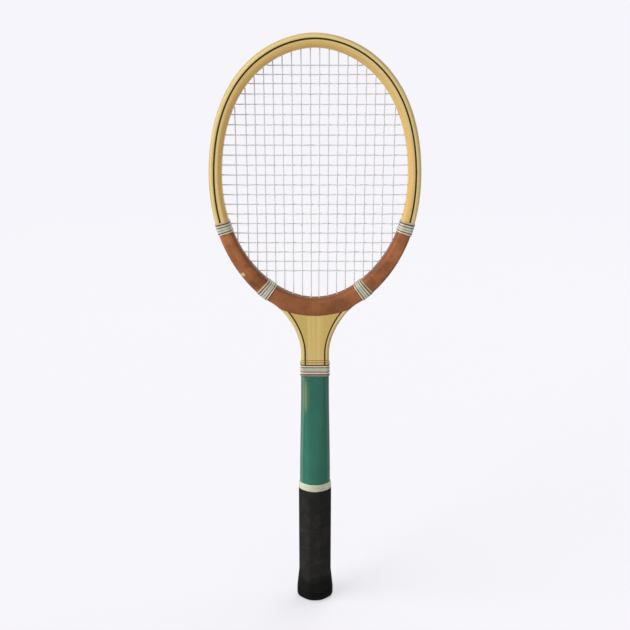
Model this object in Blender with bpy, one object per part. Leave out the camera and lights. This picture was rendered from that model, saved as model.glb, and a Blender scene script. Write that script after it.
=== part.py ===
"""Laminated wooden tennis racket, standing upright on its butt.

The butt rests on the XY plane at the origin, +Z runs up the handle to the tip of the head,
+X is to the right, and the face of the strings looks along -Y. All sizes are in metres.

The frame is bent from strips: an outer bow that runs from the butt round the head and back,
a dark veneer inside it, and an inner hoop that closes round the bottom of the head. A wedge
fills the throat, a core fills the shaft, and two pallets build the handle up to an octagon.
Strings pass through drilled holes and lie in a groove round the outside of the bow.
"""

import math

import bmesh
import bpy
from mathutils import Matrix, Vector
from mathutils.geometry import interpolate_bezier, intersect_line_line_2d

MM = 0.001
GAP = 0.3 * MM                     # glue line or running gap between neighbouring pieces

# Overall form, measured from the butt or down from the tip
LENGTH = 685.0 * MM
HEAD_WIDTH = 234.4 * MM
TIP_TO_WIDEST = 155.0 * MM
TIP_TO_THROAT = 294.8 * MM         # where the outline turns from convex to hollow
THROAT_HALF_WIDTH = 50.6 * MM
THROAT_ANGLE = math.radians(29.8)  # slope of the outline there, above level
THROAT_TO_SHAFT = 60.8 * MM        # from there down to where the outline runs straight
SHAFT_WIDTH = 33.0 * MM
TIP_ROUND = 43.0 * MM              # pull of the outline's curve at each place
SIDE_ROUND_UP = 121.0 * MM
SIDE_ROUND_DOWN = 83.0 * MM
THROAT_ROUND_UP = 24.0 * MM
THROAT_ROUND_DOWN = 20.0 * MM
SHAFT_ROUND = 22.5 * MM

# Laminations
FRAME_DEPTH = 18.0 * MM
BOW_THICKNESS = 5.2 * MM
SHAFT_BOW_THICKNESS = 4.3 * MM     # the bow is worked thinner from the throat to the shaft
VENEER_THICKNESS = 1.1 * MM
OUTER_ROUNDING = 4.0 * MM
INNER_ROUNDING = 5.0 * MM
GROOVE_WIDTH = 4.8 * MM
GROOVE_DEPTH = 2.0 * MM
GROOVE_RUN_OUT = 14.0 * MM         # the groove fades out this far below its last hole

# Opening of the head
SIDE_WALL = 14.0 * MM              # width of the frame, seen from the front, at the sides
TIP_WALL = 15.2 * MM
OPENING_ABOVE_THROAT = 4.5 * MM
OPENING_TIP_ROUND = 37.0 * MM
OPENING_SIDE_UP = 109.0 * MM
OPENING_SIDE_DOWN = 76.0 * MM
OPENING_END_ROUND = 51.0 * MM
HOOP_END_WALL = 9.6 * MM           # radial thickness of the hoop at its lowest place
HOOP_LEAVES_ABOVE_THROAT = 10.8 * MM
HOOP_LEAVE_ROUND = 20.0 * MM
HOOP_END_ROUND = 26.0 * MM
HORN_TIP = 0.4 * MM                # height of the blunt end of the wedge's horns

# Handle, an octagon built up on the shaft
HANDLE_WIDTH = 36.8 * MM
HANDLE_DEPTH = 27.4 * MM
HANDLE_FRONT_FLAT = 13.0 * MM
HANDLE_SIDE_FLAT = 9.0 * MM
SHAFT_FRONT_FLAT = 19.0 * MM
SHAFT_SIDE_FLAT = 12.0 * MM
PALLET_TIP = 0.9 * MM              # how far a pallet stands off the shaft at its thin end
CORNER_CUT = 1.3 * MM              # corners of the octagon are eased
SHAFT_TO_PALLETS = 29.2 * MM       # from the start of the straight shaft to the pallets
COLLAR_BOTTOM = 152.6 * MM
COLLAR_HEIGHT = 9.0 * MM
COLLAR_WALL = 1.0 * MM
SCARF_DEPTH = 40.0 * MM
SCARF_SHOULDER = 250.0 * MM

# Leather grip and butt cap
LEATHER = 1.2 * MM
GRIP_PITCH = 23.0 * MM
GRIP_SEAM = 0.6 * MM
FLARE_START = 38.0 * MM
FLARE = 2.7 * MM
CAP_RIM_HEIGHT = 12.6 * MM
CAP_SKIRT_TOP = 30.0 * MM
CAP_SKIRT_WALL = 0.45 * MM         # at the top edge of the skirt
CAP_FLOOR = 3.0 * MM
CAP_ROUNDING = 5.0 * MM

# Striped tape bindings
BINDING_LENGTH = 15.0 * MM
BINDING_WALL = 0.5 * MM
TIP_TO_SHOULDER_BINDING = 210.5 * MM
THROAT_BINDING_ABOVE_THROAT = 7.2 * MM

# Strings
MAINS = 18
CROSSES = 22
MAIN_MARGIN = 15.5 * MM            # from the side of the opening to the outermost main
OUTER_MAIN_GAP = 11.7 * MM         # from the outermost main to the next
TOP_MARGIN = 17.2 * MM             # from the top of the opening to the first cross
TOP_GAPS = 2                       # the crosses at the top lie closer than the others
TOP_CROSS_GAP = 9.5 * MM
END_MARGIN = 31.3 * MM             # from the last cross to the end of the opening
STRING = 1.3 * MM
HOLE = 2.2 * MM
LANE = 1.0 * MM                    # holes are staggered: mains in front, crosses behind
LEAST_HOLE_SPACING = 3.0 * MM
LEAST_FREEDOM = 0.05               # even a hole that takes its string aside gives way a little
STRING_LIFT = 1.6 * MM             # centre to centre where a cross passes a main
NEAR_HOLE = 4.0 * MM               # a cross stays behind a main this close to its own hole
BEND_INSIDE = 1.6 * MM             # a string turns into its hole this far from the wall
MAIN_RAMP = 12.0 * MM              # a main comes back to the middle plane over this length
FAN = 5                            # lowest mains each side leave through the throat
FAN_PITCH = 9.5 * MM
SPREAD_ROUNDS = 400                # for moving crowded holes apart

# Facets
TOP_STEPS = 16
SHOULDER_STEPS = 13
THROAT_STEPS = 7
CLOSING_STEPS = 7
HORN_STEPS = 2                     # steps of the closing curve before the wedge's horns begin
TAPER_STEPS = 5
FINE_STEPS = 60
LEAST_STATION = 4.0 * MM
PROBE = 0.5 * MM                   # for taking the direction of an outline
RAY = 60.0 * MM                    # longer than the frame is wide anywhere round the head
DIAGONAL = math.sqrt(0.5)
SIDES = 16                         # corners of the handle's eased octagon
SHARP = math.radians(35)           # edges turn less than this where a surface is smooth
WELD = 0.01 * MM
SAMPLE = 2.0 * MM                  # for measuring a string's least gap to itself
SAME_RUN = 6.0 * MM

HALF_DEPTH = FRAME_DEPTH / 2
THROAT_HEIGHT = LENGTH - TIP_TO_THROAT
SHAFT_TOP = THROAT_HEIGHT - THROAT_TO_SHAFT
PALLET_TOP = SHAFT_TOP - SHAFT_TO_PALLETS
SHAFT_BAND_BOTTOM = PALLET_TOP + GAP
OPENING_HALF_WIDTH = HEAD_WIDTH / 2 - SIDE_WALL
OPENING_TOP = LENGTH - TIP_WALL
OPENING_END = THROAT_HEIGHT + OPENING_ABOVE_THROAT
OUTER_MAIN = OPENING_HALF_WIDTH - MAIN_MARGIN
MAIN_SPACING = 2 * (OUTER_MAIN - OUTER_MAIN_GAP) / (MAINS - 3)
FIRST_CROSS = OPENING_TOP - TOP_MARGIN
LAST_CROSS = OPENING_END + END_MARGIN
CROSS_SPACING = (FIRST_CROSS - TOP_CROSS_GAP * TOP_GAPS - LAST_CROSS) / (CROSSES - 1 - TOP_GAPS)
BINDING_HEIGHTS = {                # middle of each head binding, at the outside
    "shoulder": LENGTH - TIP_TO_SHOULDER_BINDING,
    "throat": THROAT_HEIGHT + THROAT_BINDING_ABOVE_THROAT,
}
COLLAR_TOP = COLLAR_BOTTOM + COLLAR_HEIGHT
GRIP_BOTTOM = CAP_RIM_HEIGHT + GAP
GRIP_TOP = COLLAR_BOTTOM - GAP
CORE_BOTTOM = CAP_FLOOR + GAP


def flat(x, z):
    """A place in the plane of the racket."""
    return Vector((x, z))


def place(point, y):
    """A place in the plane of the racket, moved to depth y."""
    return Vector((point.x, y, point.y))


def bezier(start, start_pull, end_pull, end, steps):
    """Points of one curve from start to end, both ends included."""
    return list(interpolate_bezier(start, start + start_pull, end + end_pull, end, steps + 1))


def joined(*runs):
    """One list of points from runs that share their end points."""
    points = list(runs[0])
    for run in runs[1:]:
        points += run[1:]
    return points


def outline_right(top_steps, shoulder_steps, throat_steps):
    """Right half of the outer outline, from the tip down to the straight shaft."""
    tip = flat(0, LENGTH)
    side = flat(HEAD_WIDTH / 2, LENGTH - TIP_TO_WIDEST)
    throat = flat(THROAT_HALF_WIDTH, THROAT_HEIGHT)
    shaft = flat(SHAFT_WIDTH / 2, SHAFT_TOP)
    slope = flat(math.cos(THROAT_ANGLE), math.sin(THROAT_ANGLE))
    return joined(
        bezier(tip, flat(TIP_ROUND, 0), flat(0, SIDE_ROUND_UP), side, top_steps),
        bezier(side, flat(0, -SIDE_ROUND_DOWN), slope * THROAT_ROUND_UP, throat, shoulder_steps),
        bezier(throat, slope * -THROAT_ROUND_DOWN, flat(0, SHAFT_ROUND), shaft, throat_steps))


def opening_right(top_steps, end_steps):
    """Right half of the head's opening, from the top down to the bottom."""
    top = flat(0, OPENING_TOP)
    side = flat(OPENING_HALF_WIDTH, LENGTH - TIP_TO_WIDEST)
    end = flat(0, OPENING_END)
    return joined(
        bezier(top, flat(OPENING_TIP_ROUND, 0), flat(0, OPENING_SIDE_UP), side, top_steps),
        bezier(side, flat(0, -OPENING_SIDE_DOWN), flat(OPENING_END_ROUND, 0), end, end_steps))


def ease(value, start, end):
    """0 at start, 1 at end, with a smooth run between."""
    t = min(max((value - start) / (end - start), 0.0), 1.0)
    return t * t * (3 - 2 * t)


def bow_wall(z):
    """Thickness of the bow at height z of its outer edge."""
    return BOW_THICKNESS + (SHAFT_BOW_THICKNESS - BOW_THICKNESS) * ease(z, THROAT_HEIGHT, SHAFT_TOP)


def laminations(z):
    """How far inside the outline the filling lies, behind bow and veneer, at height z."""
    return bow_wall(z) + GAP + VENEER_THICKNESS + GAP


def octagon(z):
    """Half width, half depth, half front flat and half side flat of the handle at height z."""
    t = ease(z, PALLET_TOP, COLLAR_TOP)
    shaft = (SHAFT_WIDTH, FRAME_DEPTH + 2 * PALLET_TIP, SHAFT_FRONT_FLAT, SHAFT_SIDE_FLAT)
    handle = (HANDLE_WIDTH, HANDLE_DEPTH, HANDLE_FRONT_FLAT, HANDLE_SIDE_FLAT)
    return [(a + (b - a) * t) / 2 for a, b in zip(shaft, handle)]


def diagonal_depth(z, x):
    """Depth of the octagon's slanting face at distance x from the middle."""
    half_width, half_depth, front_flat, side_flat = octagon(z)
    share = (half_width - x) / (half_width - front_flat)
    return side_flat + (half_depth - side_flat) * share


def diagonal_width(z, y):
    """Distance from the middle of the octagon's slanting face at depth y."""
    half_width, half_depth, front_flat, side_flat = octagon(z)
    share = (half_depth - y) / (half_depth - side_flat)
    return front_flat + (half_width - front_flat) * share


def octagon_ring(z, grow):
    """The points round the handle at height z, its faces moved out by grow."""
    half_width, half_depth, front_flat, side_flat = octagon(z)
    run = half_width - front_flat
    rise = half_depth - side_flat
    slant = math.hypot(run, rise)
    front = front_flat + grow * (slant - run) / rise
    side = side_flat + grow * (slant - rise) / run
    wide = half_width + grow
    deep = half_depth + grow
    corners = [(wide, -side), (wide, side), (front, deep), (-front, deep),
               (-wide, side), (-wide, -side), (-front, -deep), (front, -deep)]
    points = []
    for i, corner in enumerate(corners):
        here = Vector((*corner, z))
        before = Vector((*corners[i - 1], z))
        after = Vector((*corners[(i + 1) % len(corners)], z))
        points.append(here + (before - here).normalized() * CORNER_CUT)
        points.append(here + (after - here).normalized() * CORNER_CUT)
    return points


def along_outline(points, distance):
    """Place at a distance along a row of points."""
    last = len(points) - 2
    for i, (a, b) in enumerate(zip(points, points[1:])):
        step = (b - a).length
        if distance <= step or i == last:
            return a.lerp(b, distance / step)
        distance -= step


def distance_to(points, test):
    """Distance along a row of points to where test, a signed number, first changes sign."""
    walked = 0.0
    for a, b in zip(points, points[1:]):
        before = test(a)
        after = test(b)
        if before * after <= 0 and before != after:
            return walked + (b - a).length * before / (before - after)
        walked += (b - a).length
    return walked


def inward_at(points, distance):
    """Inward direction of a right-hand outline that runs down from the tip."""
    along = along_outline(points, distance + PROBE) - along_outline(points, distance - PROBE)
    along.normalize()
    return flat(along.y, -along.x)


def mirror(point):
    """The same place or direction on the left side."""
    return flat(-point.x, point.y)


def whole_loop(right):
    """A closed loop from a right-hand outline, without the two points in the middle."""
    side = right[1:-1]
    loop = side + [mirror(p) for p in reversed(side)]
    return loop + loop[:1]


def ray_meets(point, direction, outline):
    """Distances, along the ray and along the outline, to where a ray meets an outline."""
    far = point + direction * RAY
    walked = 0.0
    for a, b in zip(outline, outline[1:]):
        hit = intersect_line_line_2d(point, far, a, b)
        if hit:
            return (hit - point).length, walked + (hit - a).length
        walked += (b - a).length


def binding_spots(outline, height):
    """Distances along the outline of a binding's upper edge, middle and lower edge."""
    middle = distance_to(outline, lambda p: p.y - height)
    return [middle + BINDING_LENGTH * share for share in (-0.5, 0, 0.5)]


def station_spots(outline):
    """Distances along the right outline of the bow's stations round the head."""
    bands = []
    for height in BINDING_HEIGHTS.values():
        bands += binding_spots(outline, height)
    spots = list(bands)
    for point in outline_right(TOP_STEPS, SHOULDER_STEPS, THROAT_STEPS):
        spot = distance_to(outline, lambda p: p.y - point.y)
        if all(abs(spot - band) > LEAST_STATION for band in bands):
            spots.append(spot)
    return sorted(spots)


def leg_heights():
    """Heights of the bow's stations down the straight shaft and handle."""
    shaft = [SHAFT_BAND_BOTTOM + BINDING_LENGTH, PALLET_TOP]
    taper = [PALLET_TOP + (COLLAR_TOP - PALLET_TOP) * i / TAPER_STEPS
             for i in range(1, TAPER_STEPS + 1)]
    return shaft + taper + [CORE_BOTTOM]


def bow_stations():
    """Outer edge and inward direction all along the bow, from the right leg to the left."""
    outline = outline_right(FINE_STEPS, FINE_STEPS, FINE_STEPS)
    spots = station_spots(outline)
    right = [(outline[0], flat(0, -1))]
    right += [(along_outline(outline, s), inward_at(outline, s)) for s in spots[1:]]
    right += [(flat(octagon(z)[0], z), flat(-1, 0)) for z in leg_heights()]
    return right[::-1] + [(mirror(p), mirror(n)) for p, n in right[1:]]


def make_material(name, colour, roughness, metallic=0.0):
    """A plain finish for one kind of piece."""
    material = bpy.data.materials.new(name)
    material.use_nodes = True
    shader = material.node_tree.nodes["Principled BSDF"]
    shader.inputs["Base Color"].default_value = (*colour, 1.0)
    shader.inputs["Roughness"].default_value = roughness
    shader.inputs["Metallic"].default_value = metallic
    material.diffuse_color = (*colour, 1.0)
    return material


def add_object(name, data, material, collection):
    """Link a new object to its collection."""
    item = bpy.data.objects.new(name, data)
    data.materials.append(material)
    collection.objects.link(item)
    return item


def mesh_object(name, shape, material, collection):
    """Turn a bmesh into an object, shaded smooth except at its real edges."""
    bmesh.ops.recalc_face_normals(shape, faces=shape.faces)
    mesh = bpy.data.meshes.new(name)
    shape.to_mesh(mesh)
    shape.free()
    mesh.shade_smooth()
    mesh.set_sharp_from_angle(angle=SHARP)
    return add_object(name, mesh, material, collection)


def loft(name, rings, material, collection, closed=False):
    """Skin a row of sections that have the same number of points."""
    shape = bmesh.new()
    rows = [[shape.verts.new(point) for point in ring] for ring in rings]
    pairs = list(zip(rows, rows[1:]))
    if closed:
        pairs.append((rows[-1], rows[0]))
    else:
        shape.faces.new(rows[0])
        shape.faces.new(rows[-1])
    for near, far in pairs:
        for i in range(len(near)):
            j = (i + 1) % len(near)
            shape.faces.new((near[i], near[j], far[j], far[i]))
    bmesh.ops.triangulate(shape, faces=[face for face in shape.faces if len(face.verts) == 4])
    return mesh_object(name, shape, material, collection)


def flat_piece(name, outline, half_thickness, material, collection):
    """A flat outline cut from a board, as a filled curve turned into a mesh."""
    curve = bpy.data.curves.new(name, "CURVE")
    curve.dimensions = "2D"
    curve.fill_mode = "BOTH"
    curve.extrude = half_thickness
    spline = curve.splines.new("POLY")
    spline.points.add(len(outline) - 1)
    for target, point in zip(spline.points, outline):
        target.co = (point.x, point.y, 0, 1)
    spline.use_cyclic_u = True
    board = bpy.data.objects.new(name + "_outline", curve)
    board.rotation_euler = (math.pi / 2, 0, 0)
    collection.objects.link(board)
    bpy.context.view_layer.update()
    evaluated = board.evaluated_get(bpy.context.evaluated_depsgraph_get())
    mesh = bpy.data.meshes.new_from_object(evaluated)
    mesh.transform(board.matrix_world)
    bpy.data.objects.remove(board)
    shape = bmesh.new()
    shape.from_mesh(mesh)
    bmesh.ops.remove_doubles(shape, verts=shape.verts, dist=WELD)
    return mesh_object(name, shape, material, collection)


def string_object(name, points, material, collection):
    """One unbroken string along a row of points."""
    curve = bpy.data.curves.new(name, "CURVE")
    curve.dimensions = "3D"
    curve.bevel_depth = STRING / 2
    curve.bevel_resolution = 1
    curve.use_fill_caps = True
    spline = curve.splines.new("POLY")
    spline.points.add(len(points) - 1)
    for target, point in zip(spline.points, points):
        target.co = (*point, 1)
    return add_object(name, curve, material, collection)


def cut(item, cutter):
    """Cut one object with another."""
    step = item.modifiers.new(cutter.name, "BOOLEAN")
    step.operation = "DIFFERENCE"
    step.solver = "EXACT"
    step.object = cutter


def bow_section(point, inward, grooved):
    """Section of the outer bow: rounded outside, with the string groove round the head."""
    wall = bow_wall(point.y)
    if point.y > SHAFT_BAND_BOTTOM:
        soft = OUTER_ROUNDING * (1 - DIAGONAL)
        edge = [(wall, HALF_DEPTH), (OUTER_ROUNDING, HALF_DEPTH),
                (soft, HALF_DEPTH - soft), (0, HALF_DEPTH - OUTER_ROUNDING)]
    else:
        wide = abs(point.x)
        low, high = octagon_ring(point.y, 0)[2:4]
        middle = (high.x - wall + wide) / 2
        edge = [(wide - x, diagonal_depth(point.y, x)) for x in (wide - wall, middle)]
        edge += [(wide - high.x, high.y), (0, low.y)]
    if grooved:
        edge += [(0, GROOVE_WIDTH / 2), (GROOVE_DEPTH, GROOVE_WIDTH / 2)]
    else:
        edge += [(0, GROOVE_WIDTH / 2), (0, GROOVE_WIDTH / 4)]
    section = edge + [(u, -y) for u, y in reversed(edge)]
    return [place(point + inward * u, y) for u, y in section]


def make_bow(stations, groove_end, material, collection):
    """The outer lamination, one strip from butt to butt."""
    rings = [bow_section(p, n, p.y > groove_end) for p, n in stations]
    return loft("outer_bow", rings, material, collection)


def make_veneer(stations, material, collection):
    """The thin dark strip glued inside the bow."""
    rings = []
    for point, inward in stations:
        near = bow_wall(point.y) + GAP
        far = near + VENEER_THICKNESS
        half = HALF_DEPTH
        if point.y <= PALLET_TOP + GAP:
            half = min(half, diagonal_depth(point.y, octagon(point.y)[0] - near))
        corners = [(near, half), (near, -half), (far, -half), (far, half)]
        rings.append([place(point + inward * u, y) for u, y in corners])
    return loft("dark_veneer", rings, material, collection)


def right_half(stations):
    """Stations from the tip down the right side."""
    tip = len(stations) // 2
    return stations[tip::-1]


def hoop_outside(stations):
    """Right outer side of the hoop as stations: along the veneer, and free round the end."""
    along = [(p + n * laminations(p.y), n) for p, n in right_half(stations)
             if p.y > THROAT_HEIGHT + HOOP_LEAVES_ABOVE_THROAT]
    start, inward = along[-1]
    heading = flat(-inward.y, inward.x)
    end = flat(0, OPENING_END - HOOP_END_WALL)
    curve = bezier(start, heading * HOOP_LEAVE_ROUND, flat(HOOP_END_ROUND, 0), end,
                   CLOSING_STEPS)
    free = [(start, inward)]
    for before, point, after in zip(curve, curve[1:], curve[2:]):
        step = (after - before).normalized()
        free.append((point, flat(step.y, -step.x)))
    free.append((end, flat(0, 1)))
    return along, free


def hoop_section(outer, inward, wall):
    """Section of the hoop: flat where it is glued, rounded towards the strings."""
    soft = INNER_ROUNDING * (1 - DIAGONAL)
    edge = [(0, HALF_DEPTH), (wall - INNER_ROUNDING, HALF_DEPTH), (wall - soft, HALF_DEPTH - soft),
            (wall, HALF_DEPTH - INNER_ROUNDING)]
    section = edge + [(u, -y) for u, y in reversed(edge)]
    return [place(outer + inward * u, y) for u, y in section]


def make_hoop(stations, material, collection):
    """The inner lamination, a closed ring round the strings."""
    opening = whole_loop(opening_right(FINE_STEPS, FINE_STEPS))
    right = [(p, n, ray_meets(p, n, opening)[0]) for p, n in joined(*hoop_outside(stations))]
    left = [(mirror(p), mirror(n), wall) for p, n, wall in right[-2:0:-1]]
    rings = [hoop_section(*station) for station in right + left]
    return loft("inner_hoop", rings, material, collection, closed=True)


def core_side(stations, top, bottom):
    """Right edge of the filling between the veneers, from height top down to bottom."""
    edge = [p + n * laminations(p.y) for p, n in right_half(stations)]
    inside = [p for p in edge if bottom < p.y < top]
    low = next(i for i, p in enumerate(edge) if p.y <= bottom + WELD)
    share = (edge[low - 1].y - bottom) / (edge[low - 1].y - edge[low].y)
    return inside + [edge[low - 1].lerp(edge[low], share)]


def make_wedge(stations, material, collection):
    """The wedge that fills the throat under the hoop, ending in a V in the shaft."""
    free = hoop_outside(stations)[1]
    crown = [p - n * GAP for p, n in free[HORN_STEPS:]]
    side = core_side(stations, crown[0].y - HORN_TIP, SCARF_SHOULDER)
    right = crown[::-1] + side
    point = flat(0, SCARF_SHOULDER - SCARF_DEPTH)
    outline = right + [point] + [mirror(p) for p in right[:0:-1]]
    return flat_piece("throat_wedge", outline, HALF_DEPTH, material, collection)


def make_core(stations, material, collection):
    """The core that fills the shaft and handle below the wedge."""
    joint = SCARF_DEPTH / SHAFT_WIDTH
    step = GAP * math.hypot(1, 2 * joint)
    side = core_side(stations, SCARF_SHOULDER - step, CORE_BOTTOM)
    shoulder = core_side(stations, SCARF_SHOULDER, SCARF_SHOULDER - step)[-1]
    right = [shoulder] + side
    valley = flat(0, SCARF_SHOULDER - SCARF_DEPTH - step)
    outline = [valley] + right + [mirror(p) for p in reversed(right)]
    return flat_piece("handle_core", outline, HALF_DEPTH, material, collection)


def make_pallet(name, side, material, collection):
    """A shaped board glued to one face of the shaft; side is -1 in front and 1 behind."""
    rings = []
    for z in leg_heights()[1:]:
        seat = HALF_DEPTH + GAP
        wide = diagonal_width(z, seat)
        corners = [(wide, seat)] + [(p.x, p.y) for p in octagon_ring(z, 0)[4:8]] + [(-wide, seat)]
        rings.append([Vector((x, side * y, z)) for x, y in corners])
    return loft(name, rings, material, collection)


def leather_seat(z):
    """How far the inside of the leather stands off the wooden handle at height z."""
    lift = FLARE * max(FLARE_START - z, 0.0) / (FLARE_START - GRIP_BOTTOM)
    return GAP + lift


def make_grip(material, collection):
    """One leather strip wound up the handle, its ends cut level."""
    strip = GRIP_PITCH - GRIP_SEAM
    climb = GRIP_PITCH / SIDES
    rings = []
    for i in range(1, math.ceil((GRIP_TOP - GRIP_BOTTOM + strip) / climb)):
        start = GRIP_BOTTOM - strip + climb * i
        heights = (max(start, GRIP_BOTTOM), min(start + strip, GRIP_TOP))
        corner = i % SIDES
        inside = [octagon_ring(z, leather_seat(z))[corner] for z in heights]
        outside = [octagon_ring(z, leather_seat(z) + LEATHER)[corner] for z in heights]
        rings.append(inside + outside[::-1])
    return loft("leather_grip", rings, material, collection)


def make_collar(material, collection):
    """The rubber collar above the grip."""
    soft = COLLAR_WALL / 3
    profile = [(COLLAR_BOTTOM, 0), (COLLAR_TOP, 0), (COLLAR_TOP, COLLAR_WALL - soft),
               (COLLAR_TOP - soft, COLLAR_WALL), (COLLAR_BOTTOM, COLLAR_WALL)]
    rings = [octagon_ring(z, GAP + grow) for z, grow in profile]
    return loft("rubber_collar", rings, material, collection, closed=True)


def make_cap(material, collection):
    """The butt cap, a cup with a flared skirt that the leather covers down to its rim."""
    rim = leather_seat(GRIP_BOTTOM) + LEATHER
    soft = CAP_ROUNDING * (1 - DIAGONAL)
    seat = leather_seat(GRIP_BOTTOM) - GAP
    profile = [(0, rim - CAP_ROUNDING), (soft, rim - soft), (CAP_ROUNDING, rim),
               (CAP_RIM_HEIGHT, rim), (CAP_RIM_HEIGHT, seat),
               (CAP_SKIRT_TOP, GAP + CAP_SKIRT_WALL), (CAP_SKIRT_TOP, GAP), (CAP_FLOOR, GAP)]
    rings = [octagon_ring(z, grow) for z, grow in profile]
    return loft("butt_cap", rings, material, collection)


def band_section(station, lift):
    """Section of the tape's inner or outer side, lifted off the wood's own section."""
    point, inward, wall, outer_round, inner_round = station
    outer_arm = (outer_round + lift) * DIAGONAL
    inner_arm = (inner_round + lift) * DIAGONAL
    edge = [(-lift, HALF_DEPTH - outer_round),
            (outer_round - outer_arm, HALF_DEPTH - outer_round + outer_arm),
            (outer_round, HALF_DEPTH + lift),
            (wall - inner_round, HALF_DEPTH + lift),
            (wall - inner_round + inner_arm, HALF_DEPTH - inner_round + inner_arm),
            (wall + lift, HALF_DEPTH - inner_round)]
    section = edge + [(u, -y) for u, y in reversed(edge)]
    return [place(point + inward * u, y) for u, y in section]


def rounded_band(name, stations, material, collection):
    """Tape wound round the frame at stations that give the wood's own section."""
    inside = [band_section(station, GAP) for station in stations]
    outside = [band_section(station, GAP + BINDING_WALL) for station in stations]
    return loft(name, inside + outside[::-1], material, collection, closed=True)


def head_band_station(outer, opening, distance):
    """One station of a binding round the head at a distance along the outer outline."""
    point = along_outline(outer, distance)
    inward = inward_at(outer, distance)
    wall = ray_meets(point, inward, opening)[0]
    return point, inward, wall, OUTER_ROUNDING, INNER_ROUNDING


def make_head_bindings(outer, opening, material, collection):
    """Two bindings on each side of the head."""
    bands = []
    for label, height in BINDING_HEIGHTS.items():
        right = [head_band_station(outer, opening, s) for s in binding_spots(outer, height)]
        left = [(mirror(p), mirror(n), *rest) for p, n, *rest in right]
        bands.append(rounded_band("right_" + label + "_binding", right, material, collection))
        bands.append(rounded_band("left_" + label + "_binding", left, material, collection))
    return bands


def make_shaft_binding(material, collection):
    """The binding round the shaft, just above the thin ends of the pallets."""
    stations = []
    for z in (SHAFT_BAND_BOTTOM, SHAFT_BAND_BOTTOM + BINDING_LENGTH):
        stations.append((flat(SHAFT_WIDTH / 2, z), flat(-1, 0), SHAFT_WIDTH, OUTER_ROUNDING,
                         OUTER_ROUNDING))
    return rounded_band("shaft_binding", stations, material, collection)


def main_places():
    """Distance of each main of the right half from the middle."""
    return [MAIN_SPACING * (i + 0.5) for i in range(MAINS // 2 - 1)] + [OUTER_MAIN]


def cross_heights():
    """Height of each cross, from the tip down."""
    top = [FIRST_CROSS - TOP_CROSS_GAP * j for j in range(TOP_GAPS)]
    return top + [LAST_CROSS + CROSS_SPACING * j for j in reversed(range(CROSSES - TOP_GAPS))]


def freedom(kind, inward):
    """How freely a hole may move along the opening without moving its string aside."""
    aside = inward.x if kind == "cross" else inward.y
    return max(1 - aside ** 2, LEAST_FREEDOM)


def string_entries(opening):
    """Holes of the right half: kind, number from the middle or the tip, and place."""
    entries = []
    total = sum((b - a).length for a, b in zip(opening, opening[1:]))
    for i, x in enumerate(main_places()):
        entries.append(["main_top", i, distance_to(opening, lambda p: p.x - x)])
        bottom = total - distance_to(opening[::-1], lambda p: p.x - x)
        entries.append(["main_bottom", i, bottom])
    for j, z in enumerate(cross_heights()):
        entries.append(["cross", j, distance_to(opening, lambda p: p.y - z)])
    entries.sort(key=lambda entry: entry[2])
    for _ in range(SPREAD_ROUNDS):
        for near, far in zip(entries, entries[1:]):
            short = LEAST_HOLE_SPACING - (far[2] - near[2])
            if short > 0:
                inward = inward_at(opening, (near[2] + far[2]) / 2)
                free = freedom(near[0], inward)
                share = free / (free + freedom(far[0], inward))
                near[2] -= short * share
                far[2] += short * (1 - share)
    return entries


def string_holes(outer, opening):
    """Entry and exit of every hole in the right half, in the plane of the racket."""
    holes = {}
    leaving = 0.0
    for kind, number, reach in string_entries(opening):
        entry = along_outline(opening, reach)
        if kind == "main_bottom" and number < FAN:
            leaving += FAN_PITCH
        else:
            outward = -inward_at(opening, reach)
            leaving = ray_meets(entry, outward, outer)[1]
        surface = along_outline(outer, leaving)
        seat = surface + inward_at(outer, leaving) * GROOVE_DEPTH / 2
        holes[kind, number] = (entry, seat)
    return holes


def mirrored(hole):
    """The same hole on the left side."""
    return tuple(mirror(p) for p in hole)


def mouth(hole):
    """Where the string turns into its hole, a little inside the opening."""
    entry, seat = hole
    return entry + (entry - seat).normalized() * BEND_INSIDE


def make_drills(name, holes, sides, collection):
    """One cutter with a drill for every string hole."""
    shape = bmesh.new()
    for (kind, _), hole in holes.items():
        depth = LANE if kind == "cross" else -LANE
        for entry, seat in (hole, mirrored(hole)):
            start = place(entry + (entry - seat).normalized() * 2 * BEND_INSIDE, depth)
            end = place(seat, depth)
            way = end - start
            turn = way.to_track_quat("Z", "Y").to_matrix().to_4x4()
            bmesh.ops.create_cone(shape, cap_ends=True, segments=sides, radius1=HOLE / 2,
                                  radius2=HOLE / 2, depth=way.length,
                                  matrix=Matrix.Translation((start + end) / 2) @ turn)
    mesh = bpy.data.meshes.new(name)
    shape.to_mesh(mesh)
    shape.free()
    drills = bpy.data.objects.new(name, mesh)
    drills.hide_render = True
    drills.display_type = "WIRE"
    collection.objects.link(drills)
    return drills


def main_ends(holes):
    """Bottom and top hole of each main, from left to right."""
    right = [(holes["main_bottom", i], holes["main_top", i]) for i in range(MAINS // 2)]
    left = [(mirrored(low), mirrored(high)) for low, high in reversed(right)]
    return left + right


def cross_ends(holes):
    """Left and right hole of each cross, from the tip down."""
    right = [holes["cross", j] for j in range(CROSSES)]
    return [(mirrored(hole), hole) for hole in right]


def main_depth(share, length):
    """Depth of a main: at its holes in the front lane, elsewhere in the middle plane."""
    from_end = min(share, 1 - share) * length
    return -LANE * max(1 - from_end / MAIN_RAMP, 0.0)


def main_points(ends):
    """Path of the one string that makes all the mains."""
    points = []
    for i, (low, high) in enumerate(ends):
        start, stop = (low, high) if i % 2 == 0 else (high, low)
        a = mouth(start)
        b = mouth(stop)
        length = (b - a).length
        run = [place(start[1], -LANE), place(a, -LANE)]
        for share in (MAIN_RAMP / length, 1 - MAIN_RAMP / length):
            run.append(place(a.lerp(b, share), main_depth(share, length)))
        points += run + [place(b, -LANE), place(stop[1], -LANE)]
    return points


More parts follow.
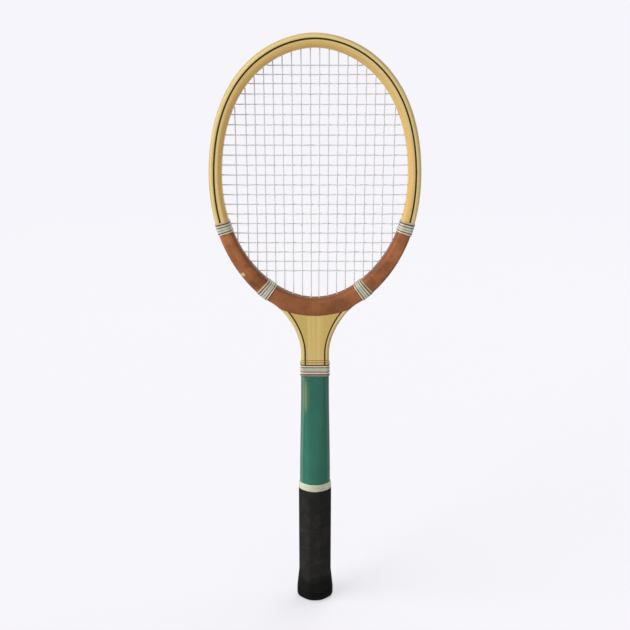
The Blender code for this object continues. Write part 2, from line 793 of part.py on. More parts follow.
def cross_points(ends, mains):
    """Path of the one string that makes all the crosses, woven over and under the mains."""
    points = []
    for j, (left, right) in enumerate(ends):
        a = mouth(left)
        b = mouth(right)
        run = [place(left[1], LANE), place(a, LANE)]
        for i, (low, high) in enumerate(mains):
            c = mouth(low)
            d = mouth(high)
            hit = intersect_line_line_2d(a, b, c, d)
            if hit:
                share = (hit - c).length / (d - c).length
                near = min((hit - a).length, (hit - b).length)
                side = 1 if near < NEAR_HOLE or (i + j) % 2 == 0 else -1
                depth = main_depth(share, (d - c).length) + side * STRING_LIFT
                if near > STRING:
                    run.append(place(hit, depth))
        run += [place(b, LANE), place(right[1], LANE)]
        points += run if j % 2 == 0 else run[::-1]
    return points


def least_gap(points):
    """Least clear distance of a string to its own other runs."""
    least = 1.0
    samples = []
    walked = 0.0
    for a, b in zip(points, points[1:]):
        count = max(int((b - a).length / SAMPLE), 1)
        for k in range(count):
            samples.append((a.lerp(b, k / count), walked + (b - a).length * k / count))
        walked += (b - a).length
    for i, (p, s) in enumerate(samples):
        for q, t in samples[i + 1:]:
            if t - s > SAME_RUN and abs(q.x - p.x) < least and abs(q.z - p.z) < least:
                least = min(least, (q - p).length)
    return least - STRING


def main():
    """Build the racket."""
    for item in list(bpy.data.objects):
        bpy.data.objects.remove(item)
    racket = bpy.data.collections.new("racket")
    cutters = bpy.data.collections.new("cutters")
    bpy.context.scene.collection.children.link(racket)
    bpy.context.scene.collection.children.link(cutters)

    ash = make_material("pale_ash", (0.60, 0.44, 0.23), 0.35)
    veneer = make_material("dark_veneer", (0.05, 0.045, 0.02), 0.4)
    beech = make_material("beech", (0.62, 0.42, 0.18), 0.35)
    maple = make_material("maple", (0.60, 0.46, 0.20), 0.35)
    core = make_material("core_wood", (0.50, 0.34, 0.18), 0.6)
    green = make_material("green_lacquer", (0.05, 0.17, 0.11), 0.35)
    tape = make_material("striped_tape", (0.55, 0.58, 0.48), 0.5)
    rubber = make_material("cream_rubber", (0.62, 0.60, 0.47), 0.6)
    leather = make_material("black_leather", (0.02, 0.02, 0.02), 0.55)
    plastic = make_material("black_plastic", (0.015, 0.015, 0.015), 0.4)
    gut = make_material("string", (0.75, 0.75, 0.72), 0.3)

    stations = bow_stations()
    outer = outline_right(FINE_STEPS, FINE_STEPS, FINE_STEPS)
    opening = opening_right(FINE_STEPS, FINE_STEPS)
    holes = string_holes(outer, opening)
    lowest = min(seat.y for _, seat in holes.values())
    hidden_drills = make_drills("hidden_drills", holes, 4, cutters)
    open_drills = make_drills("open_drills", holes, 6, cutters)

    bow = make_bow(stations, lowest - GROOVE_RUN_OUT, ash, racket)
    strip = make_veneer(stations, veneer, racket)
    hoop = make_hoop(stations, beech, racket)
    wedge = make_wedge(stations, maple, racket)
    make_core(stations, core, racket)
    make_pallet("front_pallet", -1, green, racket)
    make_pallet("back_pallet", 1, green, racket)
    bands = make_head_bindings(outer, opening, tape, racket)
    make_shaft_binding(tape, racket)
    for piece in (bow, strip, wedge):
        cut(piece, hidden_drills)
    for piece in [hoop] + bands:
        cut(piece, open_drills)
    make_collar(rubber, racket)
    make_grip(leather, racket)
    make_cap(plastic, racket)

    mains = main_ends(holes)
    for name, points in (("main_string", main_points(mains)),
                         ("cross_string", cross_points(cross_ends(holes), mains))):
        string_object(name, points, gut, racket)
        print(name, "least gap to itself, mm:", round(least_gap(points) / MM, 2))


main()
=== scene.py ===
"""Visual model of an old laminated wooden tennis racket that stands upright on its butt.

The butt rests on the XY plane at the origin, +Z runs up to the tip of the head, +X is to the
right, and the front of the strings looks along -Y. All sizes are in metres.
"""

import logging
import math
from dataclasses import dataclass, field
from enum import Enum
from typing import Any, Sequence

import bmesh
import bpy
import numpy as np
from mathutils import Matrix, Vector
from mathutils.geometry import delaunay_2d_cdt, interpolate_bezier


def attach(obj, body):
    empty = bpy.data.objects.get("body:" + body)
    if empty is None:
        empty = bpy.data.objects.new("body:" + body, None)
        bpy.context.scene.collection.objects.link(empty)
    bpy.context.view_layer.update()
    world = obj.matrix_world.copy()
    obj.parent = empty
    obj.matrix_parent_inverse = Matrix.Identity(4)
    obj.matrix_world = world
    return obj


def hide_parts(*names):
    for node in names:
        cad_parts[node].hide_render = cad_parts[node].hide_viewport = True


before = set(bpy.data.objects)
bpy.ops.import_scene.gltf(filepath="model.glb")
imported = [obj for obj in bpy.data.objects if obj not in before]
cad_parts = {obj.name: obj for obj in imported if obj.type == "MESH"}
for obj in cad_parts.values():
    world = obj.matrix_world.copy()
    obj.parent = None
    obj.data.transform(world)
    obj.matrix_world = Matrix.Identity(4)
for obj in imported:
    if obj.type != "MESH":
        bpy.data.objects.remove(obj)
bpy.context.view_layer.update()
LOG = logging.getLogger("racket")

MM = 0.001
# Factors that mirror x of a place to the left side, and the angles of a rounded edge
LEFT = np.array([-1.0, 1.0])
QUARTER = np.linspace(0, math.pi / 2, 9)
Colour = tuple[float, float, float]
Material = bpy.types.Material
Piece = bpy.types.Object
Rows = np.ndarray
Hole = tuple[Rows, Rows]


def screen(red: int, green: int, blue: int) -> Colour:
    """Scene light of a colour as a screen shows it, each part from 0 to 255."""
    shares = [value / 255 for value in (red, green, blue)]
    return tuple(s / 12.92 if s <= 0.04045 else ((s + 0.055) / 1.055) ** 2.4 for s in shares)


def smooth(value: Any, start: float, end: float) -> Any:
    """Share from 0 at start to 1 at end, level at both ends."""
    share = np.clip((value - start) / (end - start), 0.0, 1.0)
    return share * share * (3 - 2 * share)


def unit(way: Rows) -> Rows:
    """Scale one direction, or each row of directions, to length 1."""
    return way / np.linalg.norm(way, axis=-1, keepdims=True)


def walked(places: Rows) -> Rows:
    """Distance to each place along a row of places."""
    return np.concatenate([[0.0], np.cumsum(np.linalg.norm(np.diff(places, axis=0), axis=1))])


def curve(start: Sequence[float], pull: Sequence[float], end_pull: Sequence[float],
          end: Sequence[float], steps: int) -> Rows:
    """Places on a line that is bent by a pull at each end."""
    first, last = Vector(start), Vector(end)
    return np.array([tuple(p) for p in interpolate_bezier(
        first, first + Vector(pull), last + Vector(end_pull), last, steps + 1)])


def bend(start: Rows, corner: Rows, end: Rows, steps: int) -> Rows:
    """Places on a rounded corner, or on a row of them."""
    t = np.linspace(0, 1, steps + 1).reshape(-1, *[1] * np.ndim(start))
    return (1 - t) ** 2 * start + 2 * t * (1 - t) * corner + t * t * end


def eased(count: int) -> Rows:
    """Shares from 0 to 1 that lie closer together at both ends."""
    return (1 - np.cos(np.linspace(0, math.pi, count))) / 2


def dome(share: Any) -> Any:
    """How far a quarter round has risen at a share of its run."""
    return np.sqrt(1 - (1 - np.clip(share, 0.0, 1.0)) ** 2)


def deep(place: Rows, y: float) -> Rows:
    """A place in the racket's plane, moved to a depth."""
    return np.array([place[0], y, place[1]])


class Track:
    """A row of places in the racket's plane, read by distance along it."""

    probe = 0.5 * MM
    reach = 60.0 * MM

    def __init__(self, places: Rows) -> None:
        """Keep the rows of x and z, and measure them."""
        self.places, self.walked = places, walked(places)
        self.length = float(self.walked[-1])

    def at(self, distance: Any) -> Rows:
        """Place, or rows of places, at a distance along the row."""
        return np.stack([np.interp(distance, self.walked, side) for side in self.places.T], axis=-1)

    def inward(self, distance: Any) -> Rows:
        """Direction to the inside, on a right-hand row that runs down from the tip."""
        way = unit(self.at(distance + self.probe) - self.at(distance - self.probe))
        return way[..., ::-1] * -LEFT

    def where(self, axis: int, value: float, last: bool = False) -> float:
        """Distance along the row to where it crosses a value.

        Args:
            axis: 0 for x, 1 for z.
            value: The value to cross.
            last: Take the last crossing, not the first.

        Returns:
            Distance along the row.
        """
        off = self.places[:, axis] - value
        i = np.nonzero((off[:-1] * off[1:] <= 0) & (off[:-1] != off[1:]))[0][-1 if last else 0]
        step = self.walked[i + 1] - self.walked[i]
        return float(self.walked[i] + step * off[i] / (off[i] - off[i + 1]))

    def met_by(self, place: Rows, way: Rows) -> tuple[float, float]:
        """Where a ray meets the row.

        Args:
            place: Start of the ray.
            way: Unit direction of the ray.

        Returns:
            Distance along the ray, and distance along the row.
        """
        start, step = self.places[:-1], np.diff(self.places, axis=0)
        cross = way[0] * step[:, 1] - way[1] * step[:, 0]
        cross = np.where(np.abs(cross) < 1e-15, 1e-15, cross)
        off = start - place
        reach = (off[:, 0] * step[:, 1] - off[:, 1] * step[:, 0]) / cross
        share = (off[:, 0] * way[1] - off[:, 1] * way[0]) / cross
        good = (reach > 0) & (reach < self.reach) & (share >= -1e-9) & (share <= 1 + 1e-9)
        best = int(np.argmin(np.where(good, reach, np.inf)))
        along = self.walked[best] + share[best] * (self.walked[best + 1] - self.walked[best])
        return float(reach[best]), float(along)


@dataclass(frozen=True)
class HeadSizes:
    """Sizes of the bent frame and its opening, with the lines drawn from them."""

    length: float = 685.0 * MM
    width: float = 234.4 * MM
    tip_to_widest: float = 155.0 * MM
    tip_to_throat: float = 294.8 * MM
    throat_half: float = 50.6 * MM
    throat_angle: float = math.radians(29.8)
    throat_to_shaft: float = 60.8 * MM
    shaft_width: float = 33.0 * MM
    half_depth: float = 9.0 * MM
    bow: float = 5.2 * MM
    shaft_bow: float = 4.3 * MM
    veneer: float = 1.7 * MM
    outer_round: float = 4.0 * MM
    inner_round: float = 5.0 * MM
    side_wall: float = 14.0 * MM
    tip_wall: float = 15.2 * MM
    opening_above_throat: float = 4.5 * MM
    hoop_end_wall: float = 9.6 * MM
    steps: int = 160

    @property
    def throat_height(self) -> float:
        """Height at which the outline turns hollow."""
        return self.length - self.tip_to_throat

    @property
    def shaft_top(self) -> float:
        """Height at which the shaft begins to run straight."""
        return self.throat_height - self.throat_to_shaft

    @property
    def opening_end(self) -> float:
        """Height of the lowest place of the opening."""
        return self.throat_height + self.opening_above_throat

    def bow_wall(self, z: Any) -> Any:
        """Thickness of the bow at a height of its outer edge."""
        return self.bow + (self.shaft_bow - self.bow) * smooth(z, self.throat_height, self.shaft_top)

    def laminations(self, z: Any) -> Any:
        """Thickness of bow and veneer at a height of the outer edge."""
        return self.bow_wall(z) + self.veneer

    def outer(self) -> Track:
        """Right half of the outline, from the tip to the straight shaft.

        Returns:
            The line.
        """
        tip, side = (0, self.length), (self.width / 2, self.length - self.tip_to_widest)
        throat, shaft = (self.throat_half, self.throat_height), (self.shaft_width / 2, self.shaft_top)
        slope = np.array([math.cos(self.throat_angle), math.sin(self.throat_angle)])
        return Track(np.concatenate([
            curve(tip, (43 * MM, 0), (0, 121 * MM), side, self.steps),
            curve(side, (0, -83 * MM), slope * 24 * MM, throat, self.steps)[1:],
            curve(throat, slope * -20 * MM, (0, 22.5 * MM), shaft, self.steps)[1:]]))

    def opening(self) -> Track:
        """Right half of the opening, from its top to its lowest place.

        Returns:
            The line.
        """
        side = (self.width / 2 - self.side_wall, self.length - self.tip_to_widest)
        return Track(np.concatenate([
            curve((0, self.length - self.tip_wall), (37 * MM, 0), (0, 109 * MM), side, self.steps),
            curve(side, (0, -76 * MM), (51 * MM, 0), (0, self.opening_end), self.steps)[1:]]))


@dataclass(frozen=True)
class HandleSizes:
    """The octagon of the handle, which grows from the shaft down to the collar.

    Shaft and handle are given as width, depth, front face and side face.
    """

    top: float = 300.2 * MM
    collar_bottom: float = 152.6 * MM
    collar_top: float = 161.6 * MM
    shaft: tuple[float, ...] = (33.0 * MM, 19.8 * MM, 19.0 * MM, 12.0 * MM)
    handle: tuple[float, ...] = (36.8 * MM, 27.4 * MM, 13.0 * MM, 9.0 * MM)
    corner: float = 5.0 * MM
    most_corner: float = 0.47
    grip_bottom: float = 12.9 * MM
    flare_start: float = 38.0 * MM
    flare: float = 2.7 * MM
    gap: float = 0.3 * MM
    foot: float = 3.3 * MM

    def halves(self, z: float) -> list[float]:
        """Half width, half depth, half front face and half side face at a height."""
        share = smooth(z, self.top, self.collar_top)
        return [(a + (b - a) * share) / 2 for a, b in zip(self.shaft, self.handle)]

    def slant_depth(self, z: float, x: float) -> float:
        """Depth of the slanting face at a distance from the middle."""
        wide, thick, front, side = self.halves(z)
        return side + (thick - side) * (wide - x) / (wide - front)

    def slant_width(self, z: float, y: float) -> float:
        """Distance of the slanting face from the middle at a depth."""
        wide, thick, front, side = self.halves(z)
        return front + (wide - front) * (thick - y) / (thick - side)

    def seat(self, z: float) -> float:
        """How far the inside of the leather stands off the wood at a height."""
        return self.gap + self.flare * max(self.flare_start - z, 0.0) / (
            self.flare_start - self.grip_bottom)

    def corners(self, z: float, grow: float) -> Rows:
        """The octagon's eight corners, its faces moved out.

        Args:
            z: Height of the section.
            grow: How far each face moves out.

        Returns:
            Rows of x and y.
        """
        wide, thick, front, side = self.halves(z)
        run, rise = wide - front, thick - side
        slant = math.hypot(run, rise)
        front += grow * (slant - run) / rise
        side += grow * (slant - rise) / run
        wide, thick = wide + grow, thick + grow
        return np.array([(wide, -side), (wide, side), (front, thick), (-front, thick),
                         (-wide, side), (-wide, -side), (-front, -thick), (front, -thick)])

    def ring(self, z: float, grow: float, corner: float, arc: int = 6, flat: int = 3) -> Rows:
        """Places round the handle, with rounded corners.

        Args:
            z: Height of the section.
            grow: How far each face moves out.
            corner: Length of face that each rounding takes.
            arc: Steps of each rounding.
            flat: Places on each face between two roundings.

        Returns:
            Rows of x, y and z, always the same number of them.
        """
        sharp = self.corners(z, grow)
        way = np.roll(sharp, -1, axis=0) - sharp
        faces = np.linalg.norm(way, axis=1)
        way = way / faces[:, None]
        cuts = np.minimum(corner, self.most_corner * np.minimum(faces, np.roll(faces, 1)))[:, None]
        start, end = sharp - np.roll(way, 1, axis=0) * cuts, sharp + way * cuts
        t = np.linspace(0, 1, flat + 2)[1:-1, None, None]
        flats = end + (np.roll(start, -1, axis=0) - end) * t
        places = np.concatenate([bend(start, sharp, end, arc), flats])
        places = places.transpose(1, 0, 2).reshape(-1, 2)
        return np.column_stack([places, np.full(len(places), z)])


HEAD = HeadSizes()
HANDLE = HandleSizes()
OUTER = HEAD.outer()
OPENING = HEAD.opening()
BAND_LENGTH = 15.0 * MM
SHAFT_BAND_BOTTOM = HANDLE.top + HANDLE.gap
SHAFT_BAND_TOP = SHAFT_BAND_BOTTOM + BAND_LENGTH
SHOULDER_SPOT = OUTER.where(1, HEAD.length - 210.5 * MM)
THROAT_SPOT = OUTER.where(1, HEAD.throat_height + 7.2 * MM)


class Slot(Enum):
    """Material slots of the record, one for each finish; each piece is handed one, but it is not used.
    """

    ASH = "pale_ash"
    VENEER = "dark_veneer"
    BEECH = "beech"
    MAPLE = "maple"
    GREEN = "green_lacquer"
    TAPE = "striped_tape"
    RUBBER = "cream_rubber"
    LEATHER = "black_leather"
    PLASTIC = "black_plastic"
    STRING = "string"


# Writing nodes

class Term:
    """One output socket, on which sums are written as Python expressions."""

    def __init__(self, graph: "Nodes", socket: bpy.types.NodeSocket) -> None:
        """Keep the socket and the tree it belongs to."""
        self.graph, self.socket = graph, socket

    def _sum(self, operation: str, *values: Any) -> "Term":
        """Add one Math node."""
        return self.graph.term("ShaderNodeMath", dict(enumerate(values)), operation=operation)

    def __add__(self, other: Any) -> "Term":
        """Sum."""
        return self._sum("ADD", self, other)

    def __mul__(self, other: Any) -> "Term":
        """Product."""
        return self._sum("MULTIPLY", self, other)

    __radd__, __rmul__ = __add__, __mul__

    def __sub__(self, other: Any) -> "Term":
        """Difference."""
        return self._sum("SUBTRACT", self, other)

    def __rsub__(self, other: Any) -> "Term":
        """Difference, with this term taken away."""
        return self._sum("SUBTRACT", other, self)

    def __truediv__(self, other: Any) -> "Term":
        """Quotient."""
        return self._sum("DIVIDE", self, other)

    def __pow__(self, other: Any) -> "Term":
        """Power."""
        return self._sum("POWER", self, other)

    def __abs__(self) -> "Term":
        """Size without its sign."""
        return self._sum("ABSOLUTE", self)

    def wave(self) -> "Term":
        """Sine."""
        return self._sum("SINE", self)

    def most(self, other: Any) -> "Term":
        """The larger of two."""
        return self._sum("MAXIMUM", self, other)

    def rise(self, start: float, end: float) -> "Term":
        """Run smoothly from 0 at start to 1 at end, which may be below start."""
        low, high, first, last = (start, end, 0.0, 1.0) if start < end else (end, start, 1.0, 0.0)
        return self.graph.term("ShaderNodeMapRange",
                               {"Value": self, "From Min": low, "From Max": high,
                                "To Min": first, "To Max": last}, interpolation_type="SMOOTHSTEP")


class Nodes:
    """A node tree whose nodes are all added by one method."""

    def __init__(self, tree: bpy.types.NodeTree) -> None:
        """Keep the tree."""
        self.tree = tree

    def feed(self, socket: bpy.types.NodeSocket, value: Any) -> None:
        """Link a term to an input socket, or set its value.

        Args:
            socket: The input socket.
            value: A term, or what the socket holds.
        """
        if isinstance(value, Term):
            self.tree.links.new(value.socket, socket)
        else:
            socket.default_value = (*value, 1.0) if socket.type == "RGBA" else value

    def node(self, kind: str, sockets: dict[Any, Any] | None = None, **settings: Any
             ) -> bpy.types.Node:
        """Add one node.

        Args:
            kind: The node's type.
            sockets: Values or terms of its input sockets, by name or number.
            settings: The node's own settings, set first.

        Returns:
            The node.
        """
        node = self.tree.nodes.new(kind)
        for key, value in settings.items():
            setattr(node, key, value)
        for key, value in (sockets or {}).items():
            self.feed(node.inputs[key], value)
        return node

    def term(self, kind: str, sockets: dict[Any, Any] | None = None, output: Any = 0,
             **settings: Any) -> Term:
        """Add one node and take one of its outputs, by name or number."""
        return Term(self, self.node(kind, sockets, **settings).outputs[output])


class Graph(Nodes):
    """One material's nodes, with its Object coordinates."""

    def __init__(self, name: str) -> None:
        """Start a material with a single principled shader.

        Args:
            name: Name of the material.
        """
        self.material = bpy.data.materials.new(name)
        self.material.use_nodes = True
        super().__init__(self.material.node_tree)
        self.shader = self.tree.nodes["Principled BSDF"]
        self.place = self.term("ShaderNodeTexCoord", output="Object")
        self.x, self.y, self.z = self.parts(self.place)

    def parts(self, vector: Term) -> list[Term]:
        """The three numbers of a vector."""
        outputs = self.node("ShaderNodeSeparateXYZ", {0: vector}).outputs
        return [Term(self, output) for output in outputs]

    def vector(self, *parts: Any) -> Term:
        """A vector from three numbers."""
        return self.term("ShaderNodeCombineXYZ", dict(enumerate(parts)))

    def strip(self) -> list[Term]:
        """Distance along and across a bent strip in metres, from its own map."""
        return self.parts(self.term("ShaderNodeUVMap", uv_map="strip"))[:2]

    def cloud(self, vector: Term | tuple, scale: float = 1.0, detail: float = 2.0,
              rough: float = 0.5) -> Term:
        """Soft noise about 0.5, read at a vector or at three numbers."""
        place = vector if isinstance(vector, Term) else self.vector(*vector)
        return self.term("ShaderNodeTexNoise", {"Vector": place, "Scale": scale,
                                                "Detail": detail, "Roughness": rough})

    def mix(self, share: Any, first: Any, second: Any) -> Term:
        """Mix two colours, with a share of the second."""
        return self.term("ShaderNodeMix", {0: share, 6: first, 7: second}, 2, data_type="RGBA")

    def finish(self, colour: Any, rough: Any, height: Term | None = None,
               relief: float = 0.0, constants: dict[str, Any] | None = None) -> Material:
        """Connect the shader.

        Args:
            colour: Base colour.
            rough: Roughness.
            height: Height of the relief, about 0 to 1.
            relief: Height in metres that 1 stands for.
            constants: Values of the shader's own sockets.

        Returns:
            The material.
        """
        values = {"Base Color": colour, "Roughness": rough, **(constants or {})}
        if height is not None:
            values["Normal"] = self.term("ShaderNodeBump", {"Height": height, "Distance": relief,
                                                            "Strength": 1.0})
        for name, value in values.items():
            self.feed(self.shader.inputs[name], value)
        return self.material


# Finishes

LACQUER = {"Coat Weight": 0.2, "Coat Roughness": 0.12, "Specular IOR Level": 0.05}


@dataclass(frozen=True)
class Paintwork:
    """Brown stain round the bottom of the head, lines on the shaft, green on the handle.

    A chip is x, z and size, and the thin spot is x, z, half width and half height.
    """

    stain: Colour = screen(152, 95, 61)
    stain_dark: Colour = screen(114, 71, 45)
    stain_light: Colour = screen(174, 112, 67)
    stain_top: float = 477.0 * MM
    stain_low: float = 375.1 * MM
    stain_bow: float = 4.9
    ring_height: float = 319.3 * MM
    ring_apart: float = 1.25 * MM
    green: Colour = screen(43, 99, 84)
    green_dark: Colour = screen(39, 92, 76)
    green_light: Colour = screen(72, 126, 104)
    green_worn_and_highlight: Colour = screen(134, 142, 118)
    green_thin: Colour = screen(110, 120, 78)
    green_rubbed: Colour = screen(134, 150, 122)
    green_speck: Colour = screen(170, 160, 120)
    collar_seam_shade: Colour = screen(40, 30, 22)
    chips: tuple[tuple[float, float, float], ...] = (
        (-0.0818, 0.4238, 0.0026), (0.0903, 0.4420, 0.0010))
    thin_spot: tuple[float, float, float, float] = (-0.0118, 0.2760, 0.0075, 0.0270)

    def enamel(self, g: Graph) -> Term:
        """Green of the handle: rubbed ridges with a painted highlight on the left ones, and one thin
        spot.

        Args:
            g: The material's graph.

        Returns:
            Its colour.
        """
        x, y, z = g.x, g.y, g.z
        green = g.mix(g.cloud(g.place, 24.0).rise(0.35, 0.7), self.green_dark, self.green)
        streak = g.cloud((x * 900.0, y * 900.0, z * 60.0), 1.0, 3.0, 0.6)
        green = g.mix(streak.rise(0.6, 0.78) * 0.22, green, self.green_light)
        first, last = HANDLE.shaft[3] / 2, HANDLE.handle[3] / 2
        side = z.rise(HANDLE.top, HANDLE.collar_top) * (last - first) + first
        ridge = abs(abs(y) - side - 1.5 * MM).rise(1.5 * MM, 0.2 * MM)
        # Pale rubbed ridges: partly wear, and made stronger on the left as a painted highlight of the
        # light from the left.
        wear = ridge * (streak.rise(0.3, 0.6) * 0.6 + 0.4) * (x.rise(8 * MM, -8 * MM) * 0.6 + 0.4)
        green = g.mix(wear * 0.4, green, self.green_worn_and_highlight)
        spot_x, spot_z, wide, high = self.thin_spot
        across, along = (x - spot_x) / wide, (z - spot_z) / high
        front = y.rise(0.0, -4.0 * MM)
        thin = ((across * across + along * along) ** 0.5).rise(1.1, 0.1) * front
        green = g.mix(thin * (streak.rise(0.3, 0.6) * 0.2 + 0.25), green, self.green_thin)
        rub = abs(x - spot_x - 0.8 * MM).rise(1.5 * MM, 0.3 * MM) * abs(along).rise(0.9, 0.4)
        green = g.mix(rub * front * 0.35, green, self.green_rubbed)
        speck = g.cloud(g.place, 340.0, 4.0, 0.7)
        green = g.mix(speck.rise(0.70, 0.73) * 0.8, green, self.green_speck)
        # Painted shade: from just above the collar's lower edge downwards the green turns almost
        # black, so the seam between collar and leather looks shaded.
        low = HANDLE.collar_bottom
        return g.mix(z.rise(low + 1.2 * MM, low + 0.4 * MM), green, self.collar_seam_shade)

    def over(self, g: Graph, wood: Term, grain: Term, rough: float) -> tuple[Term, Term, Term]:
        """Lay the paintwork over bare lacquered wood.

        Args:
            g: The material's graph.
            wood: Colour of the wood.
            grain: Grain of the wood, about 0.5.
            rough: Roughness of the lacquer.

        Returns:
            Colour and roughness of the whole surface, and how far the stain covers it.
        """
        x, y, z = g.x, g.y, g.z
        edge = (g.cloud(g.place, 420.0, 3.0) - 0.5) * (1.1 * MM)
        low = x * x * self.stain_bow + self.stain_low
        above = (z - low + edge).rise(-0.25 * MM, 0.25 * MM)
        below = (z + edge).rise(self.stain_top + 0.3 * MM, self.stain_top - 0.3 * MM)
        tone = g.cloud(g.place, 38.0, 3.0, 0.6)
        patch = g.cloud(g.place, 31.0, 3.0, 0.55)
        stain = g.mix(tone.rise(0.34, 0.64), self.stain_dark, self.stain)
        stain = g.mix(patch.rise(0.46, 0.68) * 0.55, stain, self.stain_light)
        middle = abs(x).rise(62 * MM, 34 * MM) * z.rise(420 * MM, 392 * MM)
        rim = abs(z - low - 0.5 * MM + edge).rise(0.9 * MM, 0.2 * MM)
        # The stain darkens along its grain. It also darkens on the walls, partly as a darker stained
        # edge and partly as painted shade of the rounded walls. It darkens towards the middle at the
        # bottom of the head, and in a line along its lower edge.
        for share in (grain.rise(0.42, 0.62) * 0.28, abs(y).rise(8.8 * MM, 6.6 * MM) * 0.7,
                      middle * 0.45, rim * 0.7):
            stain = g.mix(share, stain, self.stain_dark)
        worn = g.cloud(g.place, 260.0, 4.0, 0.65)
        first, second = (
            1.0 - g.term("ShaderNodeVectorMath", {0: g.vector(x, 0.0, z), 1: (at_x, 0.0, at_z)},
                         "Value", operation="DISTANCE") / size + (worn - 0.5) * 1.6
            for at_x, at_z, size in self.chips)
        rub = (worn + abs(y).rise(5.2 * MM, 8.4 * MM) * 0.10).rise(0.80, 0.83)
        chipped = first.most(second).rise(0.0, 0.2) * 0.75
        brown = above * below * (1.0 - chipped) * (1.0 - rub)
        colour = g.mix(brown, wood, stain)
        rings = abs(abs(z - self.ring_height) - self.ring_apart).rise(0.7 * MM, 0.1 * MM)
        colour = g.mix(rings * 0.9, colour, self.stain_dark)
        painted = z.rise(HANDLE.top + 0.1 * MM, HANDLE.top - 0.1 * MM)
        colour = g.mix(painted, colour, self.enamel(g))
        return colour, tone * 0.18 + (rough - 0.06) + painted * 0.04, brown


class Glue(Enum):
    """Side of a bent strip that its glue line has darkened."""

    INSIDE = "inside"
    OUTSIDE = "outside"


@dataclass(frozen=True)
class Wood:
    """Lacquered wood whose grain follows a bent strip, or stands upright in a board."""

    name: str
    pale: Colour
    deep: Colour
    line: Colour
    inner: Colour | None = None
    inner_from: float = 9.0 * MM
    inner_run: float = 4.5 * MM
    glue: Glue | None = None
    glue_line: Colour = screen(76, 62, 22)
    bent: bool = True
    line_strength: float = 0.55
    rough: float = 0.36
    coat: float = 0.2
    relief: float = 0.12 * MM
    paint: Paintwork | None = Paintwork()

    def build(self) -> Material:
        """Make the material.

        Returns:
            The material.
        """
        g = Graph(self.name)
        along, across = g.strip() if self.bent else (g.z, g.x)
        drift = across + (g.cloud((along * 14.0, across * 30.0, g.y * 30.0)) - 0.5) * 0.004
        tone = g.cloud((along * 5.0, drift * 330.0, g.y * 90.0), 1.0, 3.0, 0.55)
        rings = g.cloud((along * 3.0, drift * 950.0, g.y * 260.0), 1.0, 4.0, 0.6)
        pores = g.cloud((along * 95.0, drift * 3200.0, g.y * 1400.0), 1.0, 3.0, 0.6)
        colour = g.mix(tone.rise(0.34, 0.66), self.pale, self.deep)
        colour = g.mix(rings.rise(0.52, 0.66) * self.line_strength, colour, self.line)
        colour = g.mix(pores.rise(0.58, 0.72) * 0.35, colour, self.line)
        if self.inner is not None:
            # Painted shade: darker towards the inner edge and wall of the hoop (on the wedge, towards
            # its sides).
            inside = abs(across).rise(self.inner_from, self.inner_from + self.inner_run)
            colour = g.mix(inside * 0.75, colour, self.inner)
        if self.glue is Glue.INSIDE:
            # Painted shade: darker on the bow's outer rounding and wall; the glue line at its inner
            # edge follows below.
            colour = g.mix(across.rise(3.0 * MM, 0.8 * MM) * 0.35, colour, self.line)
            thinner = g.z.rise(HEAD.throat_height, HEAD.shaft_top) * (HEAD.shaft_bow - HEAD.bow)
            glued = (abs(across) - thinner).rise(HEAD.bow - 0.5 * MM, HEAD.bow - 0.2 * MM)
            colour = g.mix(glued * 0.4, colour, self.glue_line)
        elif self.glue is Glue.OUTSIDE:
            edge = HEAD.bow + HEAD.veneer
            glued = abs(across).rise(edge + 0.5 * MM, edge + 0.2 * MM)
            colour = g.mix(glued * 0.4, colour, self.glue_line)
        height = rings * 0.35 + pores * 0.25
        if self.paint is None:
            return g.finish(colour, tone * 0.2 + self.rough, height, self.relief, LACQUER)
        colour, rough, brown = self.paint.over(g, colour, rings, self.rough)
        coat = (1.0 - brown * 0.9) * self.coat
        return g.finish(colour, rough, height, self.relief, {**LACQUER, "Coat Weight": coat})


@dataclass(frozen=True)
class BareDrill:
    """Dark end grain inside the drilled holes."""

    name: str = "drilled_wood"

    def build(self) -> Material:
        """Make the material.

        Returns:
            The material.
        """
        g = Graph(self.name)
        fleck = g.cloud(g.place, 1800.0, 3.0)
        colour = g.mix(fleck.rise(0.35, 0.65), screen(58, 40, 24), screen(104, 76, 44))
        return g.finish(colour, 0.75, fleck, 0.1 * MM)


@dataclass(frozen=True)
class GreenLacquer:
    """Green gloss lacquer on the built-up handle, worn on its edges, with a painted highlight on the
    left ones.
    """

    name: str = "green_lacquer"
    paint: Paintwork = Paintwork()

    def build(self) -> Material:
        """Make the material.

        Returns:
            The material.
        """
        g = Graph(self.name)
        fade = g.cloud(g.place, 24.0)
        grain = g.cloud((g.x * 700.0, g.y * 700.0, g.z * 9.0), 1.0, 3.0)
        return g.finish(self.paint.enamel(g), fade * 0.16 + 0.24, grain, 0.18 * MM, LACQUER)


